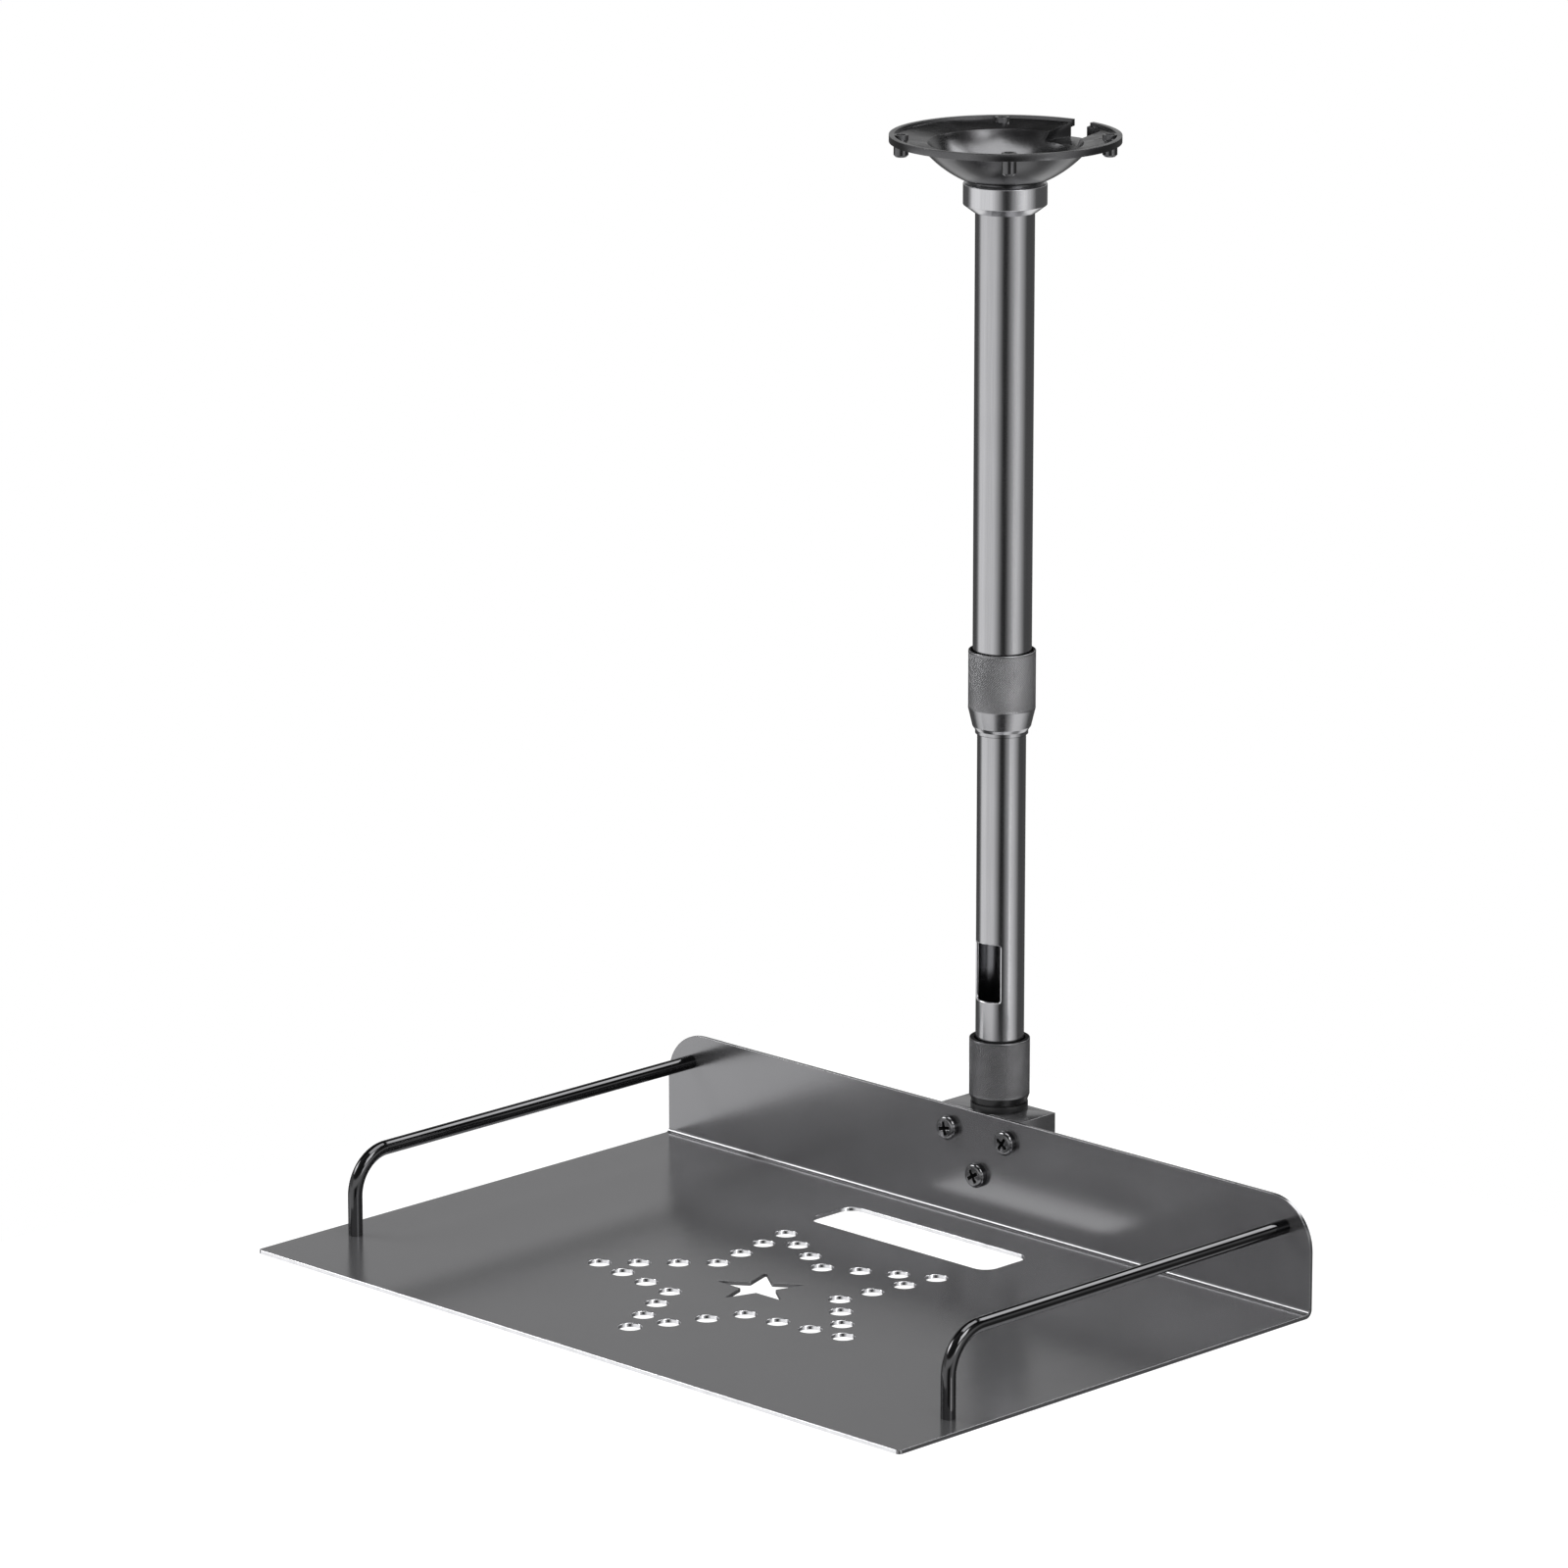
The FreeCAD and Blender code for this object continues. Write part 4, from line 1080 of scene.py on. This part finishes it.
def mirror_level(nodes, direction):
    """How bright a mirror sees the room in a direction: dark flags low beside the camera and low
    behind the object, dim walls and ceiling, and the six panels."""
    split = nodes.add("ShaderNodeSeparateXYZ")
    nodes.link(direction, split.inputs[0])
    x, y, z = split.outputs
    c, s = math.sin(AZIMUTH), -math.cos(AZIMUTH)
    toward = nodes.math("ADD", nodes.math("MULTIPLY", x, c), nodes.math("MULTIPLY", y, s))
    right = nodes.math("ADD", nodes.math("MULTIPLY", x, -s), nodes.math("MULTIPLY", y, c))
    angle = nodes.math("MULTIPLY", nodes.math("ARCTAN2", right, toward), 180 / math.pi)

    def rise(value, low, high):
        return nodes.spread(value, 0.0, 1.0, low, high)

    def fall(value, low, high):
        return nodes.spread(value, 1.0, 0.0, low, high)

    def both(a, b):
        return nodes.math("MULTIPLY", a, b)

    def hump(value, start, full, until, end):
        return both(rise(value, start, full), fall(value, until, end))

    def dim(level, mask, share):
        return both(level, nodes.math("SUBTRACT", 1.0, both(mask, share)))

    def lit(level, panel):
        angles, heights, light = panel
        mask = both(hump(angle, *angles), hump(z, *heights))
        return nodes.math("MAXIMUM", level, both(mask, light))

    behind = nodes.math("SUBTRACT", 1.0, hump(angle, -124.0, -88.0, 55.0, 92.0))
    front = hump(angle, -38.0, -5.0, 9.0, 50.0)
    wide_front = hump(angle, -80.0, -50.0, 40.0, 70.0)
    upper = rise(z, 0.32, 0.40)
    dark = nodes.math("MAXIMUM", both(both(front, FRONT_TAKES), rise(z, -0.80, -0.68)),
                      both(both(behind, BEHIND_TAKES), rise(z, -0.58, -0.46)))
    level = nodes.math("SUBTRACT", 1.0, both(dark, fall(z, 0.0, 0.10)))
    level = dim(level, both(behind, hump(z, 0.0, 0.08, 0.32, 0.40)), WALL_TAKES)
    level = dim(level, both(hump(angle, -125.0, -105.0, -70.0, -50.0),
                            hump(z, 0.02, 0.10, 0.38, 0.46)), SIDE_TAKES)
    level = dim(level, upper, CEILING_TAKES)
    level = dim(level, both(upper, behind), CEILING_BEHIND_TAKES)
    level = dim(level, both(upper, wide_front), CEILING_FRONT_TAKES)
    for panel in (SOFTBOX, STRIP, POST, LOW_LEFT, WINDOW):
        level = lit(level, panel)
    level = dim(level, both(behind, hump(z, -0.96, -0.91, -0.82, -0.76)), FOOT_TAKES)
    return lit(level, PANEL)


def straight_seen(nodes):
    """1 for rays from the camera, also those that passed through something."""
    rays = nodes.add("ShaderNodeLightPath").outputs
    return nodes.math("MAXIMUM", rays["Is Camera Ray"], rays["Is Transmission Ray"])


def studio_world():
    """White room, darker to mirrors as mirror_level() says."""
    world = bpy.data.worlds.new("studio")
    bpy.context.scene.world = world
    world.use_nodes = True
    nodes = Nodes(world.node_tree)
    out = nodes.add("ShaderNodeOutputWorld")
    level = mirror_level(nodes, nodes.add("ShaderNodeTexCoord").outputs["Generated"])
    glossy = nodes.add("ShaderNodeLightPath").outputs["Is Glossy Ray"]
    unseen = nodes.mix(glossy, nodes.background(SOFT_LIGHT), nodes.background(level))
    room = nodes.mix(straight_seen(nodes), unseen, nodes.background(SEEN_LIGHT))
    nodes.link(room, out.inputs[0])


def area_light(name, place, aim, size, power):
    """A rectangular lamp that the camera doesn't see: place, aim and size in m, power in W."""
    data = bpy.data.lights.new(name, "AREA")
    data.shape = "RECTANGLE"
    data.size, data.size_y = size
    data.energy = power
    light = bpy.data.objects.new(name, data)
    bpy.context.scene.collection.objects.link(light)
    light.location = place
    light.rotation_mode = "QUATERNION"
    light.rotation_quaternion = (Vector(aim) - Vector(place)).to_track_quat("-Z", "Y")
    light.visible_camera = False
    return light


FLOOR_GREY, GLOW_GREY, FLOOR_GLOW = 0.8, 0.3, 0.88
FLOOR_X, FLOOR_Y, FLOOR_DROP = (-1.6, 1.6), (-1.7, 1.5), -1.05


def floor_material():
    """Pale floor that glows to the camera. It is clear from below, to show the underside."""
    material = bpy.data.materials.new("pale_floor")
    material.use_nodes = True
    nodes = Nodes(material.node_tree)
    out = nodes.add("ShaderNodeOutputMaterial")
    matt = nodes.add("ShaderNodeBsdfDiffuse")
    matt.inputs["Color"].default_value = (FLOOR_GREY, FLOOR_GREY, FLOOR_GREY, 1)
    pale = nodes.add("ShaderNodeBsdfDiffuse")
    pale.inputs["Color"].default_value = (GLOW_GREY, GLOW_GREY, GLOW_GREY, 1)
    glow = nodes.add("ShaderNodeEmission")
    glow.inputs["Strength"].default_value = FLOOR_GLOW
    bright = nodes.add("ShaderNodeAddShader")
    nodes.link(pale.outputs[0], bright.inputs[0])
    nodes.link(glow.outputs[0], bright.inputs[1])
    above = nodes.mix(straight_seen(nodes), matt.outputs[0], bright.outputs[0])
    below = nodes.add("ShaderNodeNewGeometry").outputs["Backfacing"]
    clear = nodes.add("ShaderNodeBsdfTransparent").outputs[0]
    nodes.link(nodes.mix(below, above, clear), out.inputs[0])
    return material


studio_world()
key = area_light("key", (-1.55, -0.95, 1.15), (0, -0.1, -0.3), (1.1, 1.1), 42.0)
key.visible_glossy = False
area_light("fill", (1.9, -0.4, 1.5), (0, -0.1, -0.3), (1.2, 1.2), 22.0)
area_light("top", (0.0, 0.3, 1.9), (0, -0.1, -0.5), (1.6, 1.6), 26.0)

floor_mesh = bpy.data.meshes.new("floor")
(west, east), (south, north) = FLOOR_X, FLOOR_Y
floor_mesh.from_pydata([(west, south, FLOOR_DROP), (east, south, FLOOR_DROP),
                        (east, north, FLOOR_DROP), (west, north, FLOOR_DROP)], [], [(0, 1, 2, 3)])
floor_mesh.materials.append(floor_material())
floor = bpy.data.objects.new("floor", floor_mesh)
bpy.context.scene.collection.objects.link(floor)
floor.visible_glossy = False
